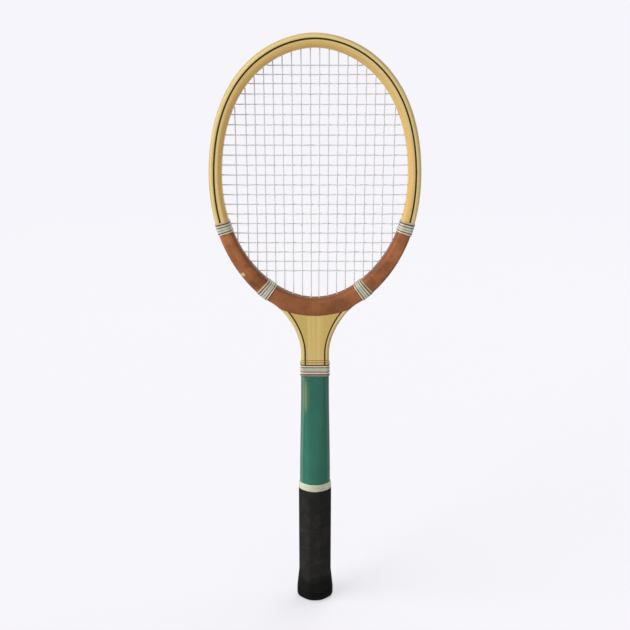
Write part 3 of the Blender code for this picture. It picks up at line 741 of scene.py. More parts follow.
@dataclass(frozen=True)
class StripedTape:
    """Pale woven tape with plain stripes, as millimetres and colours from its lower edge."""

    name: str
    stripes: tuple[tuple[float, Colour], ...]
    thread: float = 0.5 * MM
    weave: float = 0.8 * MM

    def build(self) -> Material:
        """Make the material.

        Returns:
            The material.
        """
        g = Graph(self.name)
        around, across = g.strip()
        wobble = (g.cloud((around * 160.0, 0.0, 0.0)) - 0.5) * 0.008
        node = g.node("ShaderNodeValToRGB", {0: across / BAND_LENGTH + wobble})
        node.color_ramp.interpolation = "CONSTANT"
        marks, reach = node.color_ramp.elements, 0.0
        for i, (width, colour) in enumerate(self.stripes):
            mark = marks[i] if i < len(marks) else marks.new(reach)
            mark.position, mark.color = reach, (*colour, 1.0)
            reach += width * MM / BAND_LENGTH
        thread = (across * (2 * math.pi / self.thread)).wave()
        weave = (around * (2 * math.pi / self.weave)).wave() * thread
        dirt = g.cloud(g.place, 180.0, 4.0, 0.6)
        colour = g.mix(dirt.rise(0.45, 0.75) * 0.3, Term(g, node.outputs[0]), screen(120, 110, 84))
        colour = g.mix(weave.rise(0.2, 1.0) * 0.12, colour, screen(90, 88, 74))
        return g.finish(colour, dirt * 0.2 + 0.36, thread * 0.6 + weave * 0.4, 0.08 * MM,
                        {"Coat Weight": 0.2, "Coat Roughness": 0.25})


@dataclass(frozen=True)
class CreamRubber:
    """Aged cream rubber."""

    name: str = "cream_rubber"

    def build(self) -> Material:
        """Make the material.

        Returns:
            The material.
        """
        g = Graph(self.name)
        age = g.cloud(g.place, 90.0, 4.0, 0.6)
        colour = g.mix(age.rise(0.35, 0.7), screen(178, 182, 160), screen(162, 162, 140))
        grime = g.cloud((g.x * 300.0, g.y * 300.0, g.z * 900.0), 1.0, 4.0, 0.7)
        colour = g.mix(grime.rise(0.6, 0.75) * 0.4, colour, screen(132, 124, 98))
        return g.finish(colour, age * 0.2 + 0.45, grime, 0.08 * MM, {"Specular IOR Level": 0.25})


@dataclass(frozen=True)
class BlackLeather:
    """Black calf leather with a fine grain, rubbed where it stands proud."""

    name: str = "black_leather"
    middle: float = 11.4 * MM

    def build(self) -> Material:
        """Make the material.

        Returns:
            The material.
        """
        g = Graph(self.name)
        _, across = g.strip()
        cells = g.term("ShaderNodeTexVoronoi", {"Vector": g.place, "Scale": 950.0},
                       feature="DISTANCE_TO_EDGE")
        creases = g.cloud(g.place, 380.0, 4.0, 0.6)
        rub = g.cloud(g.place, 60.0, 4.0, 0.65)
        edge = abs(across - self.middle).rise(9.6 * MM, 11.0 * MM) * rub.rise(0.46, 0.62)
        colour = g.mix(rub.rise(0.4, 0.7), screen(32, 32, 30), screen(41, 40, 38))
        colour = g.mix(edge * 0.25, colour, screen(60, 58, 54))
        colour = g.mix(cells.rise(0.05, 0.0) * 0.5, colour, screen(12, 12, 12))
        colour = g.mix(g.z.rise(HANDLE.flare_start, 22 * MM) * 0.7, colour, screen(12, 12, 10))
        height = cells.rise(0.0, 0.25) * 0.6 + creases * 0.8
        return g.finish(colour, rub * 0.2 + 0.46, height, 0.1 * MM, {"Specular IOR Level": 0.02})


@dataclass(frozen=True)
class BlackPlastic:
    """Satin black plastic of the butt, scratched underneath."""

    name: str = "black_plastic"

    def build(self) -> Material:
        """Make the material.

        Returns:
            The material.
        """
        g = Graph(self.name)
        wear = g.cloud(g.place, 150.0, 4.0, 0.7)
        scratch = g.cloud((g.x * 90.0, g.y * 2600.0, g.z * 2600.0))
        colour = g.mix(wear.rise(0.45, 0.75), screen(16, 16, 14), screen(22, 22, 20))
        colour = g.mix(scratch.rise(0.66, 0.72) * 0.2, colour, screen(44, 42, 40))
        return g.finish(colour, wear * 0.25 + 0.3, wear + scratch * 0.2, 0.15 * MM,
                        {"Specular IOR Level": 0.02})


@dataclass(frozen=True)
class StringFinish:
    """Pale twisted string, a little translucent and yellowed in places."""

    name: str = "string"
    twist: float = 2.2 * MM
    strands: int = 3

    def build(self) -> Material:
        """Make the material.

        Returns:
            The material.
        """
        g = Graph(self.name)
        age = g.cloud(g.place, 70.0, 3.0)
        along, around = (g.term("ShaderNodeAttribute", output="Fac", attribute_name=name)
                         for name in ("along", "around"))
        turn = 2 * math.pi
        twist = (along * (turn / self.twist) + around * (turn * self.strands)).wave()
        colour = g.mix(age.rise(0.35, 0.7), screen(206, 207, 206), screen(198, 198, 196))
        colour = g.mix(twist.rise(0.3, 1.0) * 0.1, colour, screen(166, 166, 164))
        return g.finish(colour, age * 0.15 + 0.22, twist, 0.04 * MM,
                        {"Coat Weight": 0.3, "Coat Roughness": 0.1,
                         "Subsurface Weight": 0.15, "Subsurface Scale": 1.0 * MM})


# Meshes

def new_object(name: str, data: bpy.types.ID, *materials: Material) -> Piece:
    """Put a mesh, a curve, a light or a camera in the scene.

    Args:
        name: Name of the object.
        data: Its mesh, curve, light or camera.
        materials: Its materials in the order of its slots.

    Returns:
        The object.
    """
    piece = bpy.data.objects.new(name, data)
    for material in materials:
        data.materials.append(material)
    bpy.context.scene.collection.objects.link(piece)
    return piece


def plain_mesh(source: Piece) -> bpy.types.Mesh:
    """Mesh of an object with its modifier applied.

    Args:
        source: The object.

    Returns:
        A mesh of its own.
    """
    bpy.context.view_layer.update()
    graph = bpy.context.evaluated_depsgraph_get()
    return bpy.data.meshes.new_from_object(source.evaluated_get(graph),
                                           preserve_all_data_layers=True, depsgraph=graph)


def turn_out(mesh: bpy.types.Mesh) -> None:
    """Point every face of a closed mesh outwards.

    Args:
        mesh: The mesh.
    """
    shape = bmesh.new()
    shape.from_mesh(mesh)
    bmesh.ops.recalc_face_normals(shape, faces=shape.faces)
    shape.to_mesh(mesh)
    shape.free()


def skin(name: str, rings: Rows, material: Material, maps: Rows | None = None,
         closed: bool = False, sharp: float = 40.0) -> Piece:
    """Skin a row of closed sections.

    Args:
        name: Name of the piece.
        rings: Sections as an array of section, place, x/y/z.
        material: Material of the piece.
        maps: Distance along and across for each place, one place more than the sections have.
        closed: Join the last section to the first, otherwise close both ends.
        sharp: Edges that turn more than this many degrees stay sharp.

    Returns:
        The object.
    """
    count, size = rings.shape[:2]
    i, j = np.meshgrid(np.arange(count if closed else count - 1), np.arange(size), indexing="ij")
    after, beside = (i + 1) % count, (j + 1) % size
    faces = np.stack([i * size + j, i * size + beside, after * size + beside, after * size + j],
                     axis=-1).reshape(-1, 4).tolist()
    if not closed:
        faces += [list(range(size))[::-1], list(range((count - 1) * size, count * size))]
    mesh = bpy.data.meshes.new(name)
    mesh.from_pydata(rings.reshape(-1, 3).tolist(), [], faces)
    if maps is not None:
        corners = np.stack([maps[i, j], maps[i, j + 1], maps[after, j + 1], maps[after, j]],
                           axis=2).reshape(-1, 2)
        if not closed:
            corners = np.concatenate([corners, maps[0, :size][::-1], maps[-1, :size]])
        mesh.uv_layers.new(name="strip").data.foreach_set("uv", corners.ravel())
    turn_out(mesh)
    mesh.shade_smooth()
    mesh.set_sharp_from_angle(angle=math.radians(sharp))
    return new_object(name, mesh, material)


def lifted(places: Rows, inward: Rows, sections: Rows) -> Rows:
    """Stand a section on each place of a line in the racket's plane.

    Args:
        places: Rows of x and z.
        inward: Direction to the inside at each place.
        sections: Inward distance and depth of each place's section.

    Returns:
        Sections as an array of place, section place, x/y/z.
    """
    flat = places[:, None, :] + inward[:, None, :] * sections[..., 0:1]
    return np.stack([flat[..., 0], sections[..., 1], flat[..., 1]], axis=-1)


def both_ways(edge: Rows) -> Rows:
    """Complete a section from its half behind the middle plane."""
    return np.concatenate([edge, edge[::-1] * -LEFT])


def strip(name: str, line: tuple[Rows, Rows, Rows], sections: Sequence[Rows], material: Material,
          start: float = 0.0, closed: bool = False) -> Piece:
    """Skin a bent strip on both sides of the racket, mapped along and across.

    Args:
        name: Name of the piece.
        line: Places, inward directions and distances of its right side, from the tip down.
        sections: Section at each place, as inward distance and depth.
        material: Its wood.
        start: Distance across at which the strip begins.
        closed: The right side ends in the middle, where the left side meets it.

    Returns:
        The object.
    """
    places, inward, spots = line
    sections = np.array(sections)
    rings = lifted(places, inward, sections)
    maps = np.stack([np.broadcast_to(spots[:, None], sections.shape[:2]), sections[..., 0] + start],
                    axis=-1)
    whole = []
    for right, flip in ((rings, (-1.0, 1.0, 1.0)), (maps, LEFT)):
        left = right[::-1] * flip
        whole.append(np.concatenate([right, left[1:-1]] if closed else [left[:-1], right]))
    rings, maps = whole
    return skin(name, rings, material, np.concatenate([maps, maps[:, :1]], axis=1), closed)


def settle(piece: Piece, slot: Slot, *nodes: str) -> None:
    """Hand a finished piece to the frame.

    Args:
        piece: The piece.
        slot: The record's slot of its finish; not used.
        nodes: Solids that it replaces.
    """
    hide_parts(*nodes)
    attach(piece, "root")
    LOG.info("%s: %d faces, replaces %s", piece.name, len(piece.data.polygons), ", ".join(nodes))


class Recipe(Nodes):
    """A geometry node tree with named inputs, applied to an object and turned to a mesh."""

    def __init__(self, name: str, sizes: dict[str, int | float]) -> None:
        """Start the tree.

        Args:
            name: Name of the tree.
            sizes: Values of its named inputs.
        """
        super().__init__(bpy.data.node_groups.new(name, "GeometryNodeTree"))
        self.values: dict[str, int | float] = {}
        for way in ("INPUT", "OUTPUT"):
            self.tree.interface.new_socket(name="Geometry", in_out=way,
                                           socket_type="NodeSocketGeometry")
        for label, value in sizes.items():
            kind = "NodeSocketInt" if isinstance(value, int) else "NodeSocketFloat"
            socket = self.tree.interface.new_socket(name=label, in_out="INPUT", socket_type=kind)
            self.values[socket.identifier] = value
        self.start = self.node("NodeGroupInput")

    def given(self, name: str) -> Term:
        """The group's input of that name."""
        return Term(self, self.start.outputs[name])

    def bake(self, source: Piece, name: str, geometry: Term, material: Material) -> Piece:
        """End the tree in one material, apply it to an object and keep the plain mesh.

        Args:
            source: Object that carries the input geometry, removed afterwards.
            name: Name of the new object.
            geometry: The geometry so far.
            material: Its material.

        Returns:
            The new object.
        """
        real = self.term("GeometryNodeRealizeInstances", {0: geometry})
        dressed = self.term("GeometryNodeSetMaterial", {0: real, "Material": material})
        self.node("NodeGroupOutput", {0: dressed})
        step = source.modifiers.new(self.tree.name, "NODES")
        step.node_group = self.tree
        for key, value in self.values.items():
            step[key] = value
        mesh = plain_mesh(source)
        bpy.data.objects.remove(source)
        return new_object(name, mesh)


# The racket's parts

@dataclass
class StringPattern:
    """Holes of the strings and their way through them."""

    mains: int = 18
    crosses: int = 22
    outer_main: float = HEAD.width / 2 - HEAD.side_wall - 15.5 * MM
    outer_main_gap: float = 11.7 * MM
    first_cross: float = HEAD.length - HEAD.tip_wall - 17.2 * MM
    last_cross: float = HEAD.opening_end + 31.3 * MM
    top_gaps: int = 2
    top_gap: float = 9.5 * MM
    lane: float = 1.0 * MM
    least_spacing: float = 3.0 * MM
    rounds: int = 400
    near_hole: float = 4.0 * MM
    seat: float = 1.0 * MM
    bend_inside: float = 1.0 * MM
    ramp: float = 12.0 * MM
    fan: int = 5
    fan_pitch: float = 9.5 * MM
    thickness: float = 1.3 * MM
    holes: dict[tuple[str, int], Hole] = field(default_factory=dict)
    crossings: dict[tuple[int, int], tuple[float, float, float, int]] = field(
        default_factory=dict)

    def __post_init__(self) -> None:
        """Find the place of every hole on the right side."""
        half, free = self.mains // 2, self.crosses - self.top_gaps
        inner = (self.outer_main - self.outer_main_gap) / (half - 1.5)
        entries: list[list[Any]] = []
        for i, x in enumerate([inner * (i + 0.5) for i in range(half - 1)] + [self.outer_main]):
            entries.append(["main_top", i, OPENING.where(0, x)])
            entries.append(["main_bottom", i, OPENING.where(0, x, last=True)])
        close = [self.first_cross - self.top_gap * j for j in range(self.top_gaps + 1)]
        even = np.linspace(close.pop(), self.last_cross, free)
        entries += [["cross", j, OPENING.where(1, z)] for j, z in enumerate([*close, *even])]
        entries.sort(key=lambda entry: entry[2])
        for _ in range(self.rounds):
            for near, far in zip(entries, entries[1:]):
                short = self.least_spacing - (far[2] - near[2])
                if short > 0:
                    inward = OPENING.inward((near[2] + far[2]) / 2)
                    first, second = (self.freedom(hole[0], inward) for hole in (near, far))
                    share = first / (first + second)
                    near[2] -= short * share
                    far[2] += short * (1 - share)
        leaving = 0.0
        for kind, number, reach in entries:
            entry = OPENING.at(reach)
            if kind == "main_bottom" and number < self.fan:
                leaving += self.fan_pitch
            else:
                leaving = OUTER.met_by(entry, -OPENING.inward(reach))[1]
            self.holes[kind, number] = (entry, OUTER.at(leaving) + OUTER.inward(leaving) * self.seat)
        self.find_crossings()

    def find_crossings(self) -> None:
        """Find where each cross meets each main, and which of the two lies in front."""
        mains = [(self.mouth(low), self.mouth(high)) for low, high in self.main_runs()]
        for j in range(self.crosses):
            b = self.mouth(self.holes["cross", j])
            a = b * LEFT
            for i, (low, high) in enumerate(mains):
                main, cross, off = high - low, b - a, low - a
                turn = cross[0] * main[1] - cross[1] * main[0]
                share = (off[0] * main[1] - off[1] * main[0]) / turn
                spot = (off[0] * cross[1] - off[1] * cross[0]) / turn
                near = min(share, 1 - share) * float(np.linalg.norm(cross))
                if near > self.thickness and 0 < spot < 1:
                    side = 1 if near < self.near_hole or (i + j) % 2 == 0 else -1
                    depth = self.main_depth(spot, float(np.linalg.norm(main)))
                    self.crossings[i, j] = (share, spot, depth, side)

    @staticmethod
    def freedom(kind: str, inward: Rows) -> float:
        """How freely a hole may move along the opening without moving its string aside."""
        return max(1 - float(inward[0 if kind == "cross" else 1]) ** 2, 0.05)

    @property
    def lowest(self) -> float:
        """Height of the lowest hole at the outside."""
        return min(seat[1] for _, seat in self.holes.values())

    def sides(self) -> list[tuple[str, Rows, Rows]]:
        """Every hole on both sides as kind, entry and seat."""
        return [(kind, entry * flip, seat * flip)
                for (kind, _), (entry, seat) in self.holes.items() for flip in (1.0, LEFT)]

    def mouth(self, hole: Hole) -> Rows:
        """Where a string turns into its hole, a little inside the opening."""
        return hole[0] + unit(hole[0] - hole[1]) * self.bend_inside

    def main_runs(self) -> list[tuple[Hole, Hole]]:
        """Bottom and top hole of each main, from left to right.

        Returns:
            The holes.
        """
        right = [(self.holes["main_bottom", i], self.holes["main_top", i])
                 for i in range(self.mains // 2)]
        left = [tuple((entry * LEFT, seat * LEFT) for entry, seat in run) for run in right[::-1]]
        return left + right

    def main_depth(self, share: float, length: float) -> float:
        """Depth of a main: forward at its holes, elsewhere in the middle plane."""
        from_end = min(share, 1 - share) * length
        return -self.lane * float(smooth(from_end, self.ramp, 0.0))


@dataclass
class Strings:
    """The two strings that make the face."""

    pattern: StringPattern
    lift: float = 0.68 * MM
    sides: int = 12
    wave_steps: int = 6
    turn: float = 1.6 * MM
    turn_steps: int = 4
    straight: float = 0.98

    def rounded(self, places: list[Rows]) -> Rows:
        """Round the corners of a line, apart from slight bends.

        Args:
            places: Corners of the line.

        Returns:
            Rows of places.
        """
        line = [places[0]]
        for before, here, after in zip(places, places[1:], places[2:]):
            if float(unit(here - before) @ unit(after - here)) > self.straight:
                line.append(here)
                continue
            start, end = (here + unit(to - here) * min(self.turn,
                                                       0.45 * float(np.linalg.norm(to - here)))
                          for to in (before, after))
            line += list(bend(start, here, end, self.turn_steps))
        return np.array(line + [places[-1]])

    def run(self, hole: Hole, far_hole: Hole, marks: list[tuple[float, float]], lane: float
            ) -> list[Rows]:
        """Corners of one string run, from hole to hole.

        Args:
            hole: Entry and seat of the first hole.
            far_hole: Entry and seat of the last hole.
            marks: Share of the way and depth of each crossing.
            lane: Depth of both holes.

        Returns:
            The corners in order.
        """
        a, b = self.pattern.mouth(hole), self.pattern.mouth(far_hole)
        marks = [(0.0, lane)] + sorted(marks) + [(1.0, lane)]
        corners = [deep(hole[1], lane)]
        for (s0, y0), (s1, y1) in zip(marks, marks[1:]):
            for t in np.linspace(0, 1, self.wave_steps + 1)[:-1]:
                corners.append(deep(a + (b - a) * (s0 + (s1 - s0) * t),
                                    float(y0 + (y1 - y0) * smooth(t, 0.0, 1.0))))
        return corners + [deep(b, lane), deep(far_hole[1], lane)]

    def paths(self) -> dict[str, Rows]:
        """Paths of the string of the mains and of the one woven through them.

        Returns:
            Rows of places by name.
        """
        pattern = self.pattern
        right = [pattern.holes["cross", j] for j in range(pattern.crosses)]
        crosses = [(tuple(p * LEFT for p in hole), hole) for hole in right]
        paths = {}
        for name, runs, lane in (("main", pattern.main_runs(), -pattern.lane),
                                 ("cross", crosses, pattern.lane)):
            own, way = (0, -1) if name == "main" else (1, 1)
            corners: list[Rows] = []
            for number, holes in enumerate(runs):
                marks = [((spot, share)[own], depth + way * side * self.lift)
                         for key, (share, spot, depth, side) in pattern.crossings.items()
                         if key[own] == number]
                run = self.run(*holes, marks, lane)
                corners += run if number % 2 == 0 else run[::-1]
            paths[name] = self.rounded(corners)
        return paths

    def build(self, material: Material) -> None:
        """Draw a round string along each path.

        Args:
            material: Finish of the strings.
        """
        for name, places in self.paths().items():
            path = bpy.data.curves.new(name + "_path", "CURVE")
            path.dimensions = "3D"
            spline = path.splines.new("POLY")
            spline.points.add(len(places) - 1)
            spline.points.foreach_set("co", np.column_stack([places, np.ones(len(places))]).ravel())
            tree = Recipe("string_along_path", {"Thickness": self.pattern.thickness,
                                                "Sides": self.sides})
            ring = tree.term("GeometryNodeCurvePrimitiveCircle",
                             {"Resolution": tree.given("Sides"),
                              "Radius": tree.given("Thickness") * 0.5})
            reach = tree.node("GeometryNodeSplineParameter").outputs
            along, around = (
                tree.term("GeometryNodeStoreNamedAttribute",
                          {0: line, "Name": label, "Value": Term(tree, reach[output])},
                          data_type="FLOAT", domain="POINT")
                for line, label, output in ((tree.given("Geometry"), "along", "Length"),
                                            (ring, "around", "Factor")))
            tube = tree.term("GeometryNodeCurveToMesh",
                             {"Curve": along, "Profile Curve": around, "Fill Caps": True})
            soft = tree.term("GeometryNodeSetShadeSmooth", {0: tube})
            piece = tree.bake(new_object(name + "_carrier", path), name + "_string_fine", soft,
                              material)
            settle(piece, Slot.STRING, name + "_string")


@dataclass
class Drills:
    """One cutter with a round drill for every string hole."""

    pattern: StringPattern
    hole: float = 2.2 * MM
    sides: int = 14

    def build(self, material: Material) -> Piece:
        """Make the cutter.

        Args:
            material: Finish of the drilled wood.

        Returns:
            The cutter, not shown.
        """
        ends = []
        for kind, entry, seat in self.pattern.sides():
            y = self.pattern.lane if kind == "cross" else -self.pattern.lane
            start = entry + unit(entry - seat) * 2 * self.pattern.bend_inside
            ends.append((deep(start, y), deep(seat, y)))
        starts, stops = np.array(ends).transpose(1, 0, 2)
        mesh = bpy.data.meshes.new("drill_places")
        mesh.from_pydata(((starts + stops) / 2).tolist(), [], [])
        way = mesh.attributes.new("way", "FLOAT_VECTOR", "POINT")
        way.data.foreach_set("vector", unit(stops - starts).ravel())
        length = mesh.attributes.new("length", "FLOAT", "POINT")
        length.data.foreach_set("value", np.linalg.norm(stops - starts, axis=1))

        tree = Recipe("drills", {"Hole": self.hole, "Sides": self.sides})
        drill = tree.term("GeometryNodeMeshCylinder",
                          {"Vertices": tree.given("Sides"), "Radius": tree.given("Hole") * 0.5,
                           "Depth": 1.0}, "Mesh")
        heading, reach = (
            tree.term("GeometryNodeInputNamedAttribute", {"Name": name}, "Attribute",
                      data_type=kind) for name, kind in (("way", "FLOAT_VECTOR"), ("length", "FLOAT")))
        turn = tree.term("FunctionNodeAlignRotationToVector", {"Vector": heading}, axis="Z")
        stretch = tree.term("ShaderNodeCombineXYZ", {0: 1.0, 1: 1.0, 2: reach})
        copies = tree.term("GeometryNodeInstanceOnPoints",
                           {"Points": tree.given("Geometry"), "Instance": drill,
                            "Rotation": turn, "Scale": stretch})
        cutter = tree.bake(new_object("drill_carrier", mesh), "drills", copies, material)
        cutter.hide_render = True
        return cutter


def drilled(piece: Piece, cutter: Piece) -> Piece:
    """Drill the string holes through a piece and keep the plain mesh.

    Args:
        piece: The piece.
        cutter: The drills.

    Returns:
        The piece.
    """
    piece.data.materials.append(cutter.data.materials[0])
    step = piece.modifiers.new("drilled", "BOOLEAN")
    step.operation, step.solver, step.object = "DIFFERENCE", "EXACT", cutter
    step.material_mode = "TRANSFER"
    mesh = plain_mesh(piece)
    piece.modifiers.clear()
    piece.data = mesh
    mesh.set_sharp_from_angle(angle=math.radians(40))
    return piece


@dataclass
class BentFrame:
    """Outer bow, dark veneer, inner hoop and throat wedge."""

    pattern: StringPattern
    spacing: float = 2.4 * MM
    leg_spacing: float = 5.0 * MM
    groove_width: float = 4.8 * MM
    groove_depth: float = 2.0 * MM
    groove_lip: float = 1.1 * MM
    groove_run: float = 10.0 * MM
    run_out: float = 14.0 * MM
    closing_steps: int = 28
    scarf_shoulder: float = 250.0 * MM
    scarf_depth: float = 40.0 * MM
    wedge_bite: float = 0.01 * MM
    crown_gap: float = 0.2 * MM
    glue: float = 0.02 * MM

    def stations(self) -> tuple[Rows, Rows, Rows]:
        """Stations from the tip down the right side to the butt.

        Returns:
            Places, inward directions, and distances along the bow.
        """
        spots = np.linspace(0, OUTER.length, int(OUTER.length / self.spacing) + 1)[:-1]
        inward = OUTER.inward(spots)
        inward[0] = (0.0, -1.0)
        steps = int((HEAD.shaft_top - HANDLE.foot) / self.leg_spacing)
        heights = np.linspace(HEAD.shaft_top, HANDLE.foot, steps + 1)
        legs = np.array([(HANDLE.halves(z)[0], z) for z in heights])
        return (np.concatenate([OUTER.at(spots), legs]),
                np.concatenate([inward, np.tile([-1.0, 0.0], (len(legs), 1))]),
                np.concatenate([spots, OUTER.length + HEAD.shaft_top - heights]))

    def bow_edge(self, z: float) -> Rows:
        """Half section of the bow at a height of its outer edge, from inside to groove.

        Args:
            z: Height of the outer edge.

        Returns:
            Rows of inward distance and depth.
        """
        r, half, thick = HEAD.outer_round, HEAD.half_depth, float(HEAD.bow_wall(z))
        head = np.column_stack([r - r * np.sin(QUARTER), half - r + r * np.cos(QUARTER)])
        head = np.concatenate([[(thick, half), ((r + thick) / 2, half)], head])
        if z < SHAFT_BAND_TOP:
            low = min(z, HANDLE.top)
            wide, _, _, side = HANDLE.halves(low)
            inner = np.array([thick, HANDLE.slant_depth(low, wide - thick)])
            corner = np.array([0.0, side])
            cut = HANDLE.corner * 0.8
            start, end = corner + unit(inner - corner) * cut, corner - np.array([0.0, cut])
            t = np.linspace(0, 1, 6)[:-1, None]
            legs = np.concatenate([inner * (1 - t) + start * t, bend(start, corner, end, 5)])
            head = head + (legs - head) * smooth(z, SHAFT_BAND_TOP, SHAFT_BAND_BOTTOM)
        return head

    def groove(self, z: float, start: float) -> Rows:
        """Half section of the string groove at a height.

        Args:
            z: Height of the outer edge.
            start: Half width at which the section above it ends.

        Returns:
            Rows of inward distance and depth.
        """
        end = self.pattern.lowest - self.run_out
        share = float(smooth(z, end, end + self.groove_run))
        lip = min(self.groove_width / 2 + 0.5 * MM, start - 0.1 * MM)
        low = lip - self.groove_lip
        y = np.array([*(lip - step * MM for step in (0.0, 0.25, 0.5, 0.75)), low, lip * 0.3])
        return np.column_stack([self.groove_depth * share * smooth(y, lip, low), y])

    def build_bow(self, material: Material) -> Piece:
        """The outer lamination from butt to butt, not drilled yet.

        Args:
            material: Its wood.

        Returns:
            The object.
        """
        line, sections = self.stations(), []
        for _, z in line[0]:
            edge = self.bow_edge(z)
            sections.append(both_ways(np.concatenate([edge, self.groove(z, edge[-1, 1])])))
        return strip("outer_bow_fine", line, sections, material)

    def build_veneer(self, material: Material) -> Piece:
        """The dark strip inside the bow, with its glue lines.

        Args:
            material: Its wood.

        Returns:
            The object.
        """
        line, sections = self.stations(), []
        for _, z in line[0]:
            near, far = HEAD.bow_wall(z) - self.glue, HEAD.laminations(z) + self.glue
            first = last = HEAD.half_depth - self.glue
            if z <= HANDLE.top:
                first, last = (min(first, HANDLE.slant_depth(z, HANDLE.halves(z)[0] - reach))
                               for reach in (near, far))
            sections.append([(near, first), (near, -first), (far, -last), (far, last)])
        return strip("dark_veneer_fine", line, sections, material)

    def hoop_line(self) -> tuple[Rows, Rows, Rows, int]:
        """Outside of the hoop from the tip down the right side to its lowest place.

        Returns:
            Places, inward directions, distances, and the number of the first free place.
        """
        leave = THROAT_SPOT - BAND_LENGTH / 2
        spots = np.linspace(0, leave, int(leave / self.spacing) + 1)
        inward = OUTER.inward(spots)
        inward[0] = (0.0, -1.0)
        places = OUTER.at(spots) + inward * HEAD.laminations(HEAD.length)
        heading = inward[-1, ::-1] * LEFT
        end = (0.0, HEAD.opening_end - HEAD.hoop_end_wall)
        free = Track(curve(places[-1], heading * 20 * MM, (26 * MM, 0), end, self.closing_steps))
        turned = free.inward(free.walked)[1:]
        turned[-1] = (0.0, 1.0)
        return (np.concatenate([places, free.places[1:]]), np.concatenate([inward, turned]),
                np.concatenate([spots, leave + free.walked[1:]]), len(places))

    def build_hoop(self, material: Material) -> Piece:
        """The inner lamination, a closed ring, not drilled yet.

        Args:
            material: Its wood.

        Returns:
            The object.
        """
        *line, _ = self.hoop_line()
        right = OPENING.places[1:-1]
        whole = Track(np.concatenate([right, right[::-1] * LEFT, right[:1]]))
        r, half, sections = HEAD.inner_round, HEAD.half_depth, []
        for place, inward in zip(*line[:2]):
            wall = whole.met_by(place, inward)[0]
            edge = np.column_stack([wall - r + r * np.sin(QUARTER), half - r + r * np.cos(QUARTER)])
            side = [(wall, y) for y in np.linspace(half - r, 0, 5)[1:-1]]
            sections.append(both_ways(np.concatenate(
                [[(0.0, half), ((wall - r) / 2, half)], edge, side])))
        return strip("inner_hoop_fine", line, sections, material, HEAD.laminations(HEAD.length),
                     closed=True)

    def build_wedge(self, material: Material) -> Piece:
        """The wedge that fills the throat down to its V in the shaft.

        Args:
            material: Its wood.

        Returns:
            The object.
        """
        hoop, _, _, first = self.hoop_line()
        crown = hoop[first + 1:][::-1]
        places, inward, _ = self.stations()
        side = places + inward * (HEAD.laminations(places[:, 1:]) - self.wedge_bite)
        z = side[:, 1]
        side = side[(z < crown[-1, 1] - self.crown_gap) & (z > self.scarf_shoulder)]
        right = np.concatenate([crown, side])
        point = np.array([[0.0, self.scarf_shoulder - self.scarf_depth]])
        outline = np.concatenate([right, point, right[:0:-1] * LEFT])
        count = len(outline)
        flat, _, filled, _, _, _ = delaunay_2d_cdt([Vector(p) for p in outline], [],
                                                   [list(range(count))], 1, 1e-9)
        faces = [list(face) for face in filled]
        faces += [[i + count for i in face[::-1]] for face in faces]
        faces += [[i, (i + 1) % count, (i + 1) % count + count, i + count] for i in range(count)]
        mesh = bpy.data.meshes.new("throat_wedge_fine")
        mesh.from_pydata([(x, y, z) for y in (-HEAD.half_depth, HEAD.half_depth) for x, z in flat],
                         [], faces)
        turn_out(mesh)
        return new_object("throat_wedge_fine", mesh, material)

    def build(self, woods: dict[str, Material], cutter: Piece) -> None:
        """Make and dress the four pieces.

        Args:
            woods: Materials by name.
            cutter: The drills.
        """
        settle(drilled(self.build_bow(woods["bow"]), cutter), Slot.ASH, "outer_bow")
        settle(self.build_veneer(woods["veneer"]), Slot.VENEER, "dark_veneer")
        settle(drilled(self.build_hoop(woods["hoop"]), cutter), Slot.BEECH, "inner_hoop")
        settle(self.build_wedge(woods["wedge"]), Slot.MAPLE, "throat_wedge")


